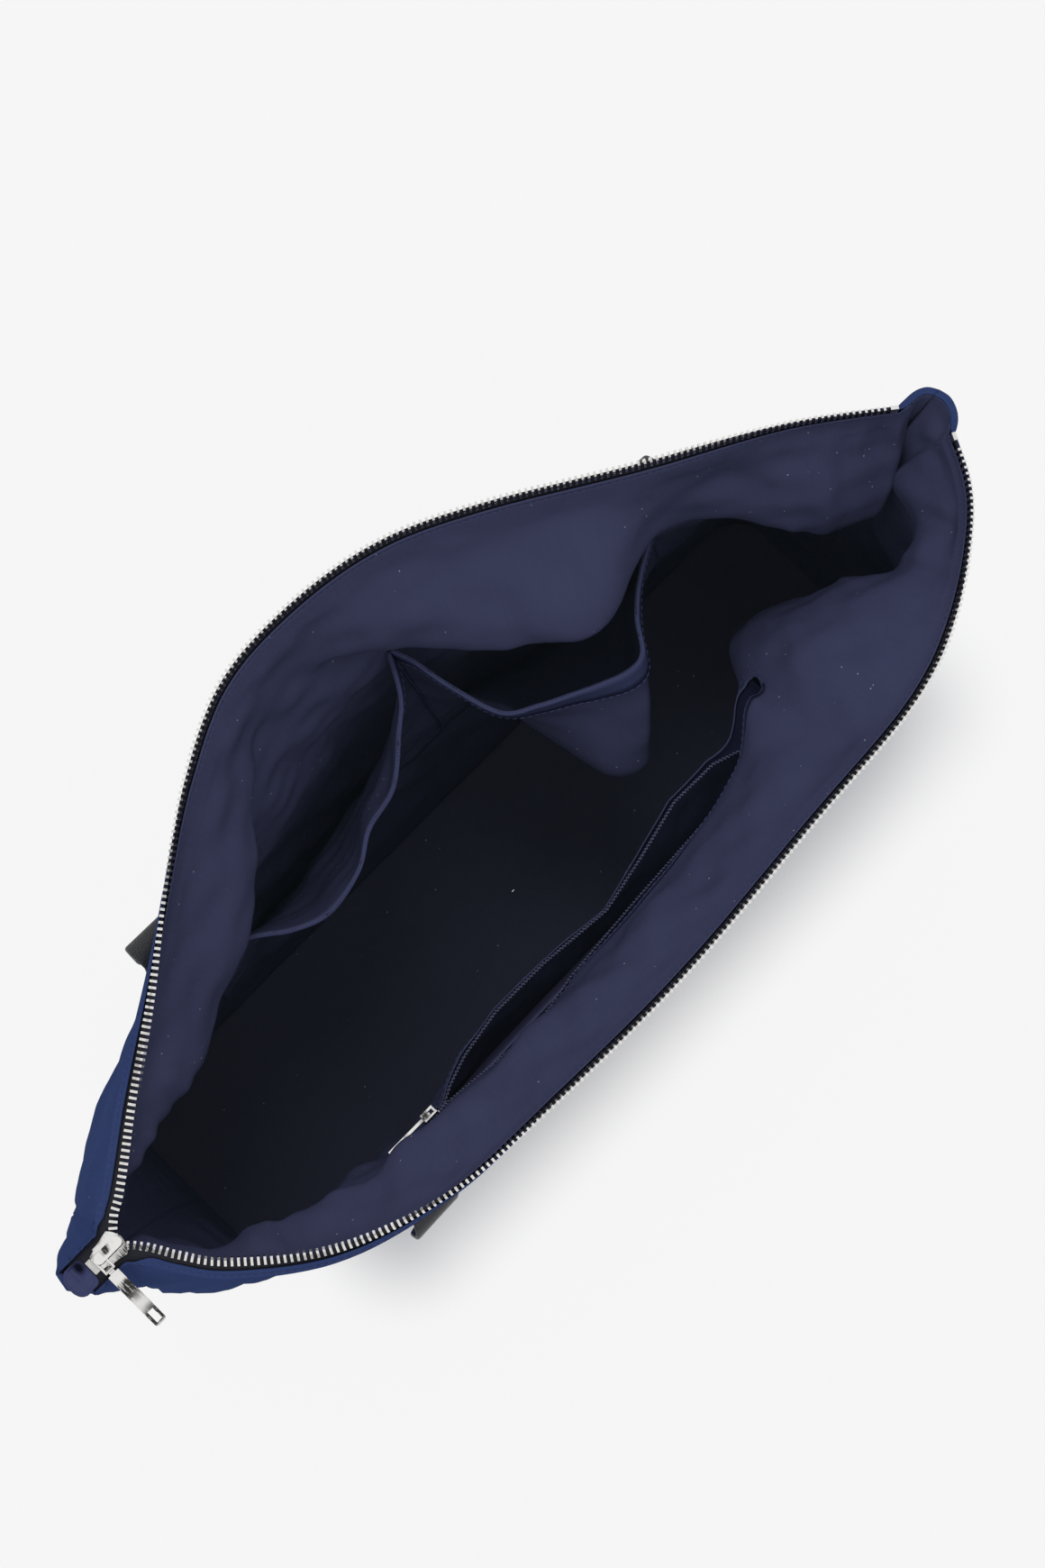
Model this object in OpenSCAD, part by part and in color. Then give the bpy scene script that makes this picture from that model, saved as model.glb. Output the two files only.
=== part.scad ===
// Zip-top shopper bag in satin, standing with its mouth drawn open.
// Origin: centre of the face that it stands on. +X runs along the bag towards
// the far end of the zip, +Y towards the back panel, +Z up. Millimetres.

/* [Bag] */
// Height of the rim above the ground at the middle of the front
bag_h = 292; // [250:1:330]
// How much higher than the front the back of the rim stands
back_rise = 8; // [0:1:20]
// How far both ends of the rim droop
end_drop = 10; // [0:1:20]
// Length of the base
base_l = 415; // [380:1:440]
// Depth of the base
base_d = 125; // [110:1:140]
// How far the middle of the base lies behind the zip line
base_y = 8; // [0:1:14]
// Corner radius of the base
base_r = 28; // [18:1:40]
// Thickness of the base panel
base_t = 3; // [2:0.5:5]
// Thickness of the outer panels
shell_t = 1.6; // [1:0.1:2.4]
// Thickness of the lining and of the pocket leaves
lining_t = 1; // [0.6:0.1:1.6]
// Room between shell and lining, where the inner pocket hangs
lining_gap = 10; // [8:0.5:14]

/* [Mouth] */
// Width that the zip rows span
mouth_w = 450; // [420:1:480]
// How far the back row stands behind the slider's line
mouth_back = 124; // [100:1:140]
// How far the front row stands before the slider's line
mouth_front = 83; // [70:1:100]
// How far the rim's left seam lies past the slider
corner_reach = 20; // [17:1:26]
// How far the rim's right seam lies past the rows
seam_reach = 7; // [5:1:12]
// How far the panels puff out round the slider
shoulder = 9; // [4:1:12]
// How sharply the front panel flares towards the rim
front_flare = 4; // [2:0.5:6]
// How sharply the side seams flare towards the rim
seam_flare = 2; // [1.5:0.25:4]
// How sharply the back panel flares towards the rim
back_flare = 1.1; // [1:0.1:2.5]

/* [Main zip] */
// Distance from tooth to tooth
pitch = 2.5; // [2.4:0.1:3.2]
// Length of a tooth along the row
tooth_t = 1.0; // [0.8:0.05:1.2]
// How far a tooth stands out from the tape's edge
tooth_reach = 1.6; // [1.4:0.1:2.2]
// How far a tooth's legs grip over the tape
tooth_grip = 2; // [1.2:0.1:2.6]
// Height of a tooth across the tape
tooth_h = 2.5; // [2.2:0.1:2.8]
// Visible width of one tape
tape_w = 7; // [6:0.5:9]
// Thickness of the tape
tape_t = 0.7; // [0.5:0.05:0.9]
// Length of the slider
slider_l = 14; // [12:0.5:16]
// Width of the slider
slider_w = 12; // [11:0.5:14]
// Thickness of the slider's plates
plate_t = 1.2; // [0.8:0.1:1.6]
// Length of the puller
puller_l = 28; // [20:1:36]
// Width of the puller
puller_w = 5.2; // [4.4:0.2:7]
// Thickness of the puller
puller_t = 1.4; // [1:0.1:2]
// Wire diameter of the link between slider and puller
link_wire = 1.2; // [1:0.1:1.4]
// Length of the link, middle to middle of its bars
link_l = 7.6; // [7.6:0.2:9]
// Length of the fabric tab over the end of the zip
tab_l = 12; // [9:0.5:14]
// Width of the fabric tab
tab_w = 14; // [10:0.5:16]

/* [Slip pockets] */
// Depth of the slip pockets
slip_h = 130; // [100:1:150]
// How far below the rim their lips start
slip_drop = 62; // [50:1:110]
// Width of the left slip pocket along the wall
left_slip_w = 150; // [120:1:160]
// Width of the right slip pocket along the wall
right_slip_w = 112; // [90:1:130]
// Place of the seam between them along the back wall
slip_seam_x = 16; // [0:1:24]
// How far the lips stand off the wall
slip_gape = 40; // [20:1:44]

/* [Inner zip pocket] */
// Length of the pocket's zip
inner_zip_l = 222; // [180:2:230]
// Depth of its middle below the rim
inner_zip_drop = 66; // [55:1:80]
// Height of the slot in the lining
slot_h = 13; // [11:0.5:16]
// How far its lower lip sags into the bag
lip_gape = 9; // [4:0.5:12]
// Diameter of the nylon coils
coil_d = 1.5; // [1.2:0.1:1.8]
// Depth of the pocket bag below the slot
inner_bag_h = 110; // [80:5:130]
// Length of the inner slider
inner_slider_l = 9; // [8:0.5:11]
// Length of the inner puller
inner_puller_l = 22; // [16:1:26]

/* [Handles] */
// Width of a handle strap
strap_w = 24; // [18:1:30]
// Thickness of a handle strap
strap_t = 3; // [2:0.25:4]
// Drop of the handle loop from its hinge line
handle_drop = 215; // [160:5:225]
// Distance between the two ends of a handle, middle to middle
handle_span = 262; // [220:2:270]
// Length of the strap's end that is sewn to the panel
sewn_l = 34; // [24:1:45]

/* [Hidden] */

satin = "#24305e";
lining_blue = "#23234f";
tape_black = "#17171f";
metal = "#c9ccd2";
strap_black = "#16171c";

// Clearances
seat = 0.3;            // between soft pieces that lie on each other
slot_fit = 0.12;       // between a tooth's legs and the tape, each side
run_fit = 0.35;        // round the link, the teeth and the inner coils
pin_fit = 0.08;        // radial, between a link's bar and the eye on it

// Grid counts of the soft sheets
n_round = 44;          // steps along a panel
n_down = 9;            // steps down a panel
n_leaf = 14;           // steps across a pocket leaf
n_lens = 16;           // steps along the inner zip's lips

// ---------- vectors ----------
function flat(v) = [v.x, v.y, 0];
function unit(v) = v / norm(v);
function mix(a, b, k) = a + (b - a) * k;
function smooth(k) = let (c = min(1, max(0, k))) c * c * (3 - 2 * c);

// Curve through the points p: a Catmull-Rom spline, m steps to each span.
function spline_at(p, i, k) =
    let (a = p[max(0, i - 1)], b = p[i], c = p[i + 1], d = p[min(len(p) - 1, i + 2)])
    0.5 * (2 * b + (c - a) * k + (2 * a - 5 * b + 4 * c - d) * k * k
        + (3 * b - a - 3 * c + d) * k * k * k);
function spline(p, m) = concat(
    [for (i = [0:len(p) - 2], j = [0:m - 1]) spline_at(p, i, j / m)], [p[len(p) - 1]]);

// Running length along the polyline p, and p as tables that give a point by length.
function run(p, i = 0, s = 0, out = []) = i == len(p) ? out :
    let (t = i == 0 ? 0 : s + norm(p[i] - p[i - 1])) run(p, i + 1, t, concat(out, [t]));
function table(p, s, c) = [for (i = [0:len(p) - 1]) [s[i], p[i][c]]];
function even(p, n) =
    let (s = run(p), x = table(p, s, 0), y = table(p, s, 1), z = table(p, s, 2), l = s[len(s) - 1])
    [for (i = [0:n]) let (a = l * i / n) [lookup(a, x), lookup(a, y), lookup(a, z)]];

// Closed sheet of rows x columns points: f is its front, b its back, same order.
module sheet(f, b) {
    rows = len(f);
    cols = len(f[0]);
    all = rows * cols;
    points = concat([for (r = f, p = r) p], [for (r = b, p = r) p]);
    function at(i, j) = i * cols + j;
    skin = [for (i = [0:rows - 2], j = [0:cols - 2])
        each [[at(i, j), at(i, j + 1), at(i + 1, j)],
            [at(i, j + 1), at(i + 1, j + 1), at(i + 1, j)]]];
    back = [for (t = skin) [t[0] + all, t[2] + all, t[1] + all]];
    edge = concat(
        [for (j = [0:cols - 2]) [at(0, j), at(0, j + 1)]],
        [for (i = [0:rows - 2]) [at(i, cols - 1), at(i + 1, cols - 1)]],
        [for (j = [cols - 1:-1:1]) [at(rows - 1, j), at(rows - 1, j - 1)]],
        [for (i = [rows - 1:-1:1]) [at(i, 0), at(i - 1, 0)]]);
    rim = [for (e = edge) each [[e[1], e[0], e[0] + all], [e[1], e[0] + all, e[1] + all]]];
    polyhedron(points, concat(skin, back, rim), convexity = 8);
}

// ---------- the two zip rows ----------
half_w = mouth_w / 2;
zip_y = -2;                                  // line of the closed chain
slider_x = -half_w - 3;                      // middle of the slider
chain_half = 1.05;                           // tape edge to the chain's middle line
tail = slider_l / 2 + 1 + tab_l;             // tape past the slider's middle
cavity = tooth_h / 2 + run_fit;              // half the room between the slider's plates

// Bows of the rows as shares of the half width and of the reach to each side
back_bow = [[-0.97, 0.06], [-0.94, 0.09], [-0.885, 0.16], [-0.81, 0.26], [-0.66, 0.45],
    [-0.515, 0.65], [-0.365, 0.84], [-0.2, 0.98], [-0.02, 1], [0.16, 0.945],
    [0.33, 0.805], [0.565, 0.555], [0.805, 0.315], [0.97, 0.1]];
front_bow = [[-0.975, 0.07], [-0.955, 0.145], [-0.935, 0.24], [-0.88, 0.435], [-0.74, 0.735],
    [-0.565, 0.915], [-0.385, 0.975], [-0.02, 1], [0.345, 0.93], [0.62, 0.87],
    [0.79, 0.7], [0.94, 0.4], [1.005, 0.11]];

function rim_z(x, side) =
    let (k = pow(min(1, abs(x) / half_w), 2))
    bag_h - end_drop * k + (side > 0 ? back_rise * (1 - k) : 0);
function row_point(x, y, side) = [x, y, rim_z(x, side)];
function row_line(side) =
    let (bow = side > 0 ? back_bow : front_bow, reach = side > 0 ? mouth_back : mouth_front)
    concat(
        [for (x = [-tail, -tail / 2, 0, slider_l / 4])
            row_point(slider_x + x, zip_y + side * chain_half, side)],
        [for (b = bow) row_point(b[0] * half_w, zip_y + side * reach * b[1], side)]);

// A row is cut into segments that carry two teeth each.
row_step = 2 * pitch;
function row_curve(side) =
    let (c = spline(row_line(side), 6), s = run(c), l = s[len(s) - 1])
    even(c, floor(l / row_step));
back_row = row_curve(1);
front_row = row_curve(-1);
function row_of(side) = side > 0 ? back_row : front_row;

// Lean of the tape: 0 lies flat into the mouth, 90 stands up, more flops outwards.
function lean(a) = lookup(a, [[30, 0], [50, 8], [90, 40], [150, 88], [210, 116],
    [440, 116], [490, 98], [530, 90]]);
function along_row(r, i) = unit(r[min(len(r) - 1, i + 1)] - r[max(0, i - 1)]);
function out_of(t, side) = unit(side * [-t.y, t.x, 0]);
function tape_dir(r, i, side) =
    let (t = along_row(r, i), n = out_of(t, side), a = lean(i * row_step),
        d = -n * cos(a) + [0, 0, 1] * sin(a))
    unit(d - t * (d * t));
function fold_point(r, i, side) = r[i] - tape_dir(r, i, side) * tape_w;

// ---------- the body's wall as one surface for each side ----------
seam_z = rim_z(half_w, 1) - tape_t / 2 - seat;
left_seam = [slider_x - corner_reach, zip_y + 1, seam_z];
right_seam = [half_w + seam_reach, zip_y + 2, seam_z];
function rim_line(side) =
    let (r = row_of(side))
    even(concat([left_seam],
        [for (i = [0:2:len(r) - 1]) fold_point(r, i, side) - [0, 0, tape_t / 2 + seat]],
        [right_seam]), n_round);
back_rim = rim_line(1);
front_rim = rim_line(-1);

// Half of the base's outline, from the left end's middle to the right end's middle
function base_corner(sx, side, a0, a1) = [for (k = [0:6])
    let (a = mix(a0, a1, k / 6))
    [sx * (base_l / 2 - base_r) + base_r * cos(a),
        base_y + side * (base_d / 2 - base_r) + base_r * sin(a), base_t]];
function base_line(side) = even(concat(
    [[-base_l / 2, base_y, base_t]],
    base_corner(-1, side, 180, 180 - side * 90),
    base_corner(1, side, side * 90, 0),
    [[base_l / 2, base_y, base_t]]), n_round);
back_base = base_line(1);
front_base = base_line(-1);

// Shell's outer face at step i along and share v down, before any offset.
// Both sides flare alike at the side seams, where they meet.
n_seam = 7;
function flare_at(side, i) = mix(seam_flare, side > 0 ? back_flare : front_flare,
    smooth(min(i, n_round - i) / n_seam));
function wall_at(side, i, v) =
    let (top = side > 0 ? back_rim[i] : front_rim[i],
        low = side > 0 ? back_base[i] : front_base[i],
        w = pow(1 - v, flare_at(side, i)),
        p = mix(low, top, w))
    [p.x, p.y, mix(top.z, low.z, v)];
function wall_in(side, i, v) =
    i == 0 ? [1, 0, 0] : i == n_round ? [-1, 0, 0] :
    -out_of(flat(wall_at(side, i + 1, v) - wall_at(side, i - 1, v)), side);
// The panels puff out round the slider and die into the plain wall.
n_puff = 13;
function puff(i, v) = shoulder * (1 - smooth((i - 2) / n_puff)) * sin(180 * sqrt(v));
function skin_step(side, i, v, d) = wall_at(side, i, v) + wall_in(side, i, v) * (d - puff(i, v));
// Any point: i may lie between two steps, d is the distance inwards
function skin(side, i, v, d) =
    let (a = floor(i), b = min(n_round, a + 1))
    mix(skin_step(side, a, v, d), skin_step(side, b, v, d), i - a);

// Lining's distance from the shell's outer face: close at the rim, slack below
rim_gap = shell_t + tape_t + 2 * seat;
slack = 3;
gap_share = [0.12, 0.25];                    // share down the front and back at which it is wide
function lining_in(side, v) =
    rim_gap + (shell_t + lining_gap - rim_gap) * smooth(v / gap_share[side > 0 ? 1 : 0])
    + slack * sin(180 * pow(v, 0.55));

downs = [for (j = [0:n_down]) pow(j / n_down, 1.3)];
function panel_grid(side, d) = [for (v = downs) [for (i = [0:n_round]) skin(side, i, v, d)]];

// Sheet between two grids, turned so that its faces point outwards on either side
module side_sheet(side, near, far) {
    if (side < 0) sheet(near, far);
    else sheet(far, near);
}

module outer_panel(side) {
    color(satin) side_sheet(side, panel_grid(side, 0), panel_grid(side, shell_t));
}
module front_outer_panel() { outer_panel(-1); }
module back_outer_panel() { outer_panel(1); }

module base_shape(inset) {
    offset(delta = -inset)
        polygon([for (p = concat(front_base, [for (i = [n_round - 1:-1:1]) back_base[i]]))
            [p.x, p.y]]);
}
module base_outer_panel() {
    color(satin) linear_extrude(base_t) base_shape(0);
}

// The lining stops a little above the base lining that it is sewn to, and its top
// dips under the slider's lower plate at the first steps.
n_dip = 2;
function dip(i) = seat + (cavity + plate_t - tape_t / 2) * (1 - smooth((i - n_dip) / 3));
function lining_grid(side, d) = [for (v = downs) [for (i = [0:n_round])
    let (p = skin(side, i, v, lining_in(side, v) + d), up = (lining_t + 2 * seat) * v)
    [p.x, p.y, p.z - dip(i) * (1 - v) + up]]];
module back_lining() {
    color(lining_blue) side_sheet(1, lining_grid(1, 0), lining_grid(1, lining_t));
}

slot_z = bag_h - inner_zip_drop;
slot_end = 6;                                // lining cut away past each end of the zip
module front_lining() {
    color(lining_blue) difference() {
        side_sheet(-1, lining_grid(-1, 0), lining_grid(-1, lining_t));
        translate([0, -base_d / 2, slot_z])
            cube([inner_zip_l + 2 * slot_end, base_d, slot_h], center = true);
    }
}
module base_lining() {
    color(lining_blue) translate([0, 0, base_t + seat])
        linear_extrude(lining_t) base_shape(shell_t + seat);
}

// ---------- main zip ----------
// A tape runs from the fold to the teeth's root, over the tops of the walls.
module zip_tape(side) {
    r = row_of(side);
    n = len(r) - 1;
    near = [for (i = [0:n]) let (d = tape_dir(r, i, side), t = cross(along_row(r, i), d))
        [r[i] - d * tape_w + t * tape_t / 2, r[i] + t * tape_t / 2]];
    far = [for (i = [0:n]) let (d = tape_dir(r, i, side), t = cross(along_row(r, i), d))
        [r[i] - d * tape_w - t * tape_t / 2, r[i] - t * tape_t / 2]];
    color(tape_black) sheet(near, far);
}
module front_zip_tape() { zip_tape(-1); }
module back_zip_tape() { zip_tape(1); }

// Section of a tooth: x runs from the tape to the head, y across the tape.
leg_in = tape_t / 2 + slot_fit;
module tooth_section() {
    neck = tooth_reach * 0.35;
    head = tooth_h * 0.28;
    polygon([
        [tooth_reach, -head], [tooth_reach, head], [neck, tooth_h * 0.44],
        [-tooth_grip * 0.85, tooth_h / 2], [-tooth_grip, leg_in],
        [slot_fit, leg_in], [slot_fit, -leg_in], [-tooth_grip, -leg_in],
        [-tooth_grip * 0.85, -tooth_h / 2], [neck, -tooth_h * 0.44]]);
}
// Teeth of the two rows alternate, so that they mesh inside the slider. The back row
// leads a little, so that tilted heads still pass each other where the rows part.
first_tooth = ceil((tail - slider_l / 2 + pitch) / row_step);
lead = 0.31;                                 // back row's first tooth, as a share of a step
module zip_teeth(side) {
    r = row_of(side);
    color(metal) for (i = [first_tooth:len(r) - 3], k = side > 0 ? [lead, lead + 0.5] : [0, 0.5]) {
        t = unit(r[i + 1] - r[i]);
        m = mix(tape_dir(r, i, side), tape_dir(r, i + 1, side), k);
        d = unit(m - t * (m * t));
        n = cross(t, d);
        p = mix(r[i], r[i + 1], k);
        multmatrix([[d.x, n.x, t.x, p.x], [d.y, n.y, t.y, p.y], [d.z, n.z, t.z, p.z], [0, 0, 0, 1]])
            linear_extrude(tooth_t, center = true) tooth_section();
    }
}
module front_zip_teeth() { zip_teeth(-1); }
module back_zip_teeth() { zip_teeth(1); }

// A top stop is a clip folded over the tape's edge, two teeth long.
stop_l = 3.2;
module top_stop(side) {
    r = row_of(side);
    i = len(r) - 2;
    t = unit(r[i + 1] - r[i]);
    m = mix(tape_dir(r, i, side), tape_dir(r, i + 1, side), 0.5);
    d = unit(m - t * (m * t));
    n = cross(t, d);
    p = mix(r[i], r[i + 1], 0.6);
    color(metal) multmatrix(
        [[d.x, n.x, t.x, p.x], [d.y, n.y, t.y, p.y], [d.z, n.z, t.z, p.z], [0, 0, 0, 1]])
        linear_extrude(stop_l, center = true) tooth_section();
}
module front_top_stop() { top_stop(-1); }
module back_top_stop() { top_stop(1); }

slider_z = rim_z(slider_x, -1);
module at_slider() { translate([slider_x, zip_y, slider_z]) children(); }

// The bottom stop is a block that both tape edges end in, just behind the slider.
bottom_stop_l = 2.4;
module bottom_stop() {
    wide = 2 * (chain_half + tooth_grip);
    color(metal) at_slider() translate([-slider_l / 2 - run_fit - bottom_stop_l, 0, 0])
        difference() {
            translate([0, -wide / 2, -tooth_h / 2]) cube([bottom_stop_l, wide, tooth_h]);
            for (s = [-1, 1]) translate([-1, s * (chain_half + wide) - wide, -leg_in])
                cube([bottom_stop_l + 2, 2 * wide, 2 * leg_in]);
        }
}

// Fabric tab sewn down over the end of the tapes
tab_t = 0.8;
module zip_end_tab() {
    r = 2;
    color(satin) at_slider()
        translate([-slider_l / 2 - 2 * run_fit - bottom_stop_l - tab_l, 0, tape_t / 2 + seat])
            linear_extrude(tab_t) union() {
                translate([r, -tab_w / 2]) square([tab_l - r, tab_w]);
                translate([0, -tab_w / 2 + r]) square([tab_l, tab_w - 2 * r]);
                for (q = [-1, 1]) translate([r, q * (tab_w / 2 - r)]) circle(r, $fn = 32);
            }
}

// Slider: two shield-shaped plates, a wedge between the rows and rails at the tail
module shield() {
    intersection() {
        polygon([[-slider_l / 2, -slider_w * 0.27], [-slider_l / 2, slider_w * 0.27],
            [-slider_l * 0.1, slider_w * 0.4], [slider_l * 0.32, slider_w / 2],
            [slider_l / 2, slider_w * 0.42], [slider_l / 2, -slider_w * 0.42],
            [slider_l * 0.32, -slider_w / 2], [-slider_l * 0.1, -slider_w * 0.4]]);
        translate([-slider_l * 0.06, 0]) circle(slider_l * 0.56, $fn = 64);
    }
}
rail = 0.9;                                  // width of the rails that the tape runs between
wedge_r = 0.5;                               // post that parts the rows at the nose
module slider_body() {
    color(metal) at_slider() {
        for (s = [-1, 1]) translate([0, 0, s * (cavity + plate_t / 2) - plate_t / 2])
            linear_extrude(plate_t) shield();
        translate([slider_l / 2 - 1.5 * wedge_r, 0, -cavity - plate_t / 2])
            cylinder(r = wedge_r, h = 2 * cavity + plate_t, $fn = 32);
        for (s = [-1, 1], q = [-1, 1])
            translate([-slider_l * 0.1, q * (slider_w * 0.4 - rail / 2),
                s * (cavity + leg_in + run_fit) / 2])
                cube([slider_l * 0.4, rail, cavity - leg_in - run_fit + 0.02], center = true);
    }
}

// Bail: two posts and a domed bridge over the slider's top plate
post_r = 0.9;
bail_z = cavity + plate_t;                    // the posts stand on the top plate
bail_room = link_wire + 2 * run_fit;          // free height under the bridge
bail_x = slider_l * 0.33;
bridge_t = 1.4;
bridge_w = 4.2;
module slider_bail() {
    color(metal) at_slider() translate([0, 0, bail_z]) {
        for (s = [-1, 1]) translate([s * bail_x, 0, 0])
            cylinder(r = post_r, h = bail_room + bridge_t / 2, $fn = 32);
        translate([0, 0, bail_room]) intersection() {
            translate([0, 0, -slider_l * 1.1 + bridge_t + 0.4])
                sphere(slider_l * 1.1, $fn = 96);
            linear_extrude(bridge_t + 1) union() {
                square([2 * bail_x, bridge_w], center = true);
                for (s = [-1, 1]) translate([s * bail_x, 0]) circle(bridge_w / 2, $fn = 48);
            }
        }
    }
}

// Link: a ring of wire round the bail's tail post, which it swings about
link_x = slider_x - bail_x;
link_z = slider_z + bail_z + bail_room / 2;
link_near = post_r + run_fit + link_wire / 2; // from the post's axis to the near bar
link_far = link_l - link_near;                // and to the far bar, which the eye turns on
link_half = puller_w / 2 - link_wire / 2;
module wire(l) { cylinder(d = link_wire, h = l, center = true, $fn = 24); }
module puller_link() {
    color(metal) translate([link_x, zip_y, link_z]) {
        for (y = [link_near, -link_far]) translate([0, y, 0])
            rotate([0, 90, 0]) wire(2 * link_half);
        for (x = [-link_half, link_half]) translate([x, (link_near - link_far) / 2, 0])
            rotate([90, 0, 0]) wire(link_l);
        for (x = [-link_half, link_half], y = [link_near, -link_far]) translate([x, y, 0])
            sphere(d = link_wire, $fn = 24);
    }
}

// Puller: an eye on the link's far bar and a flat plate with a slot near its end
eye_r = link_wire / 2 + pin_fit + 0.7;
slot_l = puller_w;
module puller() {
    edge = 1.3;
    color(metal) translate([link_x, zip_y - link_far, link_z]) difference() {
        union() {
            rotate([0, 90, 0]) cylinder(r = eye_r,
                h = 2 * (link_half - link_wire / 2 - run_fit / 2), center = true, $fn = 48);
            translate([0, 0, -puller_t / 2]) linear_extrude(puller_t) difference() {
                union() {
                    translate([-puller_w / 2, -puller_l + edge])
                        square([puller_w, puller_l - edge - eye_r - run_fit]);
                    translate([-puller_w / 2 + edge, -puller_l])
                        square([puller_w - 2 * edge, puller_l - eye_r - run_fit]);
                    for (s = [-1, 1]) translate([s * (puller_w / 2 - edge), -puller_l + edge])
                        circle(edge, $fn = 32);
                    w = link_half - link_wire / 2 - run_fit / 2;
                    translate([-w, -2 * eye_r]) square([2 * w, 2 * eye_r]);
                }
                translate([-puller_w / 2 + edge, -puller_l + edge])
                    square([puller_w - 2 * edge, slot_l]);
            }
        }
        rotate([0, 90, 0]) cylinder(r = link_wire / 2 + pin_fit, h = puller_w, center = true,
            $fn = 48);
    }
}

// ---------- slip pockets on the back lining ----------
function step_at(side, x) =
    let (r = side > 0 ? back_rim : front_rim)
    lookup(x, [for (i = [0:n_round]) [r[i].x, i]]);
// Share down the wall at step i at which it passes height z
function down_at(side, i, z) =
    let (r = side > 0 ? back_rim : front_rim, a = floor(i), b = min(n_round, a + 1),
        top = mix(r[a].z, r[b].z, i - a))
    (top - z) / (top - base_t);

// A leaf lies on the lining at its sides and foot, and its lip stands off the wall.
module slip_pocket(x0, x1) {
    i0 = step_at(1, x0);
    i1 = step_at(1, x1);
    rows = 7;
    function leaf(d) = [for (b = [0:rows]) [for (a = [0:n_leaf])
        let (h = b / rows, w = a / n_leaf, i = mix(i0, i1, w),
            v = down_at(1, i, bag_h - slip_drop - slip_h * h),
            off = seat + lining_t + slip_gape * pow(sin(180 * w), 0.8) * pow(1 - h, 1.4))
        skin(1, i, v, lining_in(1, v) + off + d)]];
    color(lining_blue) side_sheet(1, leaf(0), leaf(lining_t));
}
module left_slip_pocket() { slip_pocket(slip_seam_x - left_slip_w, slip_seam_x - seat); }
module right_slip_pocket() { slip_pocket(slip_seam_x + seat, slip_seam_x + right_slip_w); }

// ---------- inner zip pocket in the front lining ----------
inner_tape_t = 0.5;
slot_v = down_at(-1, n_round / 2, slot_z);
slot_steps = [for (i = [0:n_round]) [skin(-1, i, slot_v, lining_in(-1, slot_v)).x, i]];
// Plane behind the lining in which a tape lies, at x and height z
function behind_lining(x, z) =
    let (i = lookup(x, slot_steps), v = down_at(-1, i, z))
    skin(-1, i, v, lining_in(-1, v)).y - 2 * seat - inner_tape_t / 2;
inner_y = behind_lining(0, slot_z);
inner_slider_x = -inner_zip_l / 2 + 2 + inner_slider_l / 2;
lens_x0 = inner_slider_x + inner_slider_l / 2;
function lens(x) = sin(180 * min(1, max(0, (x - lens_x0) / (inner_zip_l / 2 - lens_x0))));
// Height of a coil's middle over the zip's line, s = 1 above and -1 below
function coil_off(x, s) =
    s * (mix(coil_d / 2 + 0.1, coil_d / 2 + 1, smooth((x - inner_slider_x) / 3))
        + (s > 0 ? 1.5 : 3) * lens(x));
function coil_y(x, s) = inner_y + (s < 0 ? lip_gape * lens(x) : 0);
lens_xs = concat([-inner_zip_l / 2, inner_slider_x, inner_slider_x + 1.5, inner_slider_x + 3],
    [for (k = [0:n_lens]) mix(lens_x0, inner_zip_l / 2, k / n_lens)]);

module inner_tape(s) {
    hem = 3;                                             // tape behind the lining
    z_hem = slot_z + s * (slot_h / 2 + hem);
    z_edge = slot_z + s * slot_h / 2;
    function rows(d) = [for (x = lens_xs) [
        [x, behind_lining(x, z_hem) + d, z_hem],
        [x, behind_lining(x, z_edge) + d, z_edge],
        [x, coil_y(x, s) + d, slot_z + coil_off(x, s) + s * (coil_d / 2 + 0.05)]]];
    color(tape_black) {
        if (s > 0) sheet(rows(inner_tape_t / 2), rows(-inner_tape_t / 2));
        else sheet(rows(-inner_tape_t / 2), rows(inner_tape_t / 2));
    }
}
module inner_zip_upper_tape() { inner_tape(1); }
module inner_zip_lower_tape() { inner_tape(-1); }

module inner_coil(s) {
    h = coil_d / 2;
    function rows(d) = [for (x = lens_xs)
        [for (q = [-1, 1]) [x, coil_y(x, s) + d, slot_z + coil_off(x, s) + q * h]]];
    color(lining_blue) sheet(rows(-h), rows(h));
}
module inner_zip_upper_coil() { inner_coil(1); }
module inner_zip_lower_coil() { inner_coil(-1); }

// Metal clips over both ends of the inner zip
module inner_end_stop() {
    wide = coil_d + 0.6;
    color(metal) for (s = [-1, 1]) translate([s * (inner_zip_l / 2 + seat + 0.7), inner_y, slot_z])
        cube([1.4, wide, 4 * coil_d], center = true);
}

// Inner slider: two plates across the coils, a post between them and a bail
inner_plate = 0.8;
inner_w = 7.4;
inner_room = coil_d / 2 + 0.25;
inner_bail = 1.9;                                        // free height under the bail
module inner_slider_body() {
    l = inner_slider_l;
    color(metal) translate([inner_slider_x, inner_y, slot_z]) rotate([-90, 0, 0]) {
        for (s = [-1, 1]) translate([0, 0, s * (inner_room + inner_plate / 2) - inner_plate / 2])
            linear_extrude(inner_plate) intersection() {
                translate([-l / 2, -inner_w / 2]) square([l, inner_w]);
                circle(l * 0.54, $fn = 64);
            }
        translate([l / 2 - 0.9, 0, -inner_room - inner_plate / 2])
            cylinder(r = 0.45, h = 2 * inner_room + inner_plate, $fn = 24);
        translate([0, 0, inner_room + inner_plate]) rotate([90, 0, 0])
            linear_extrude(1.6, center = true) difference() {
                translate([-l * 0.34, -0.4]) square([l * 0.68, inner_bail + 1.3]);
                translate([-l * 0.34 + 0.8, 0]) square([l * 0.68 - 1.6, inner_bail]);
            }
    }
}

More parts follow.
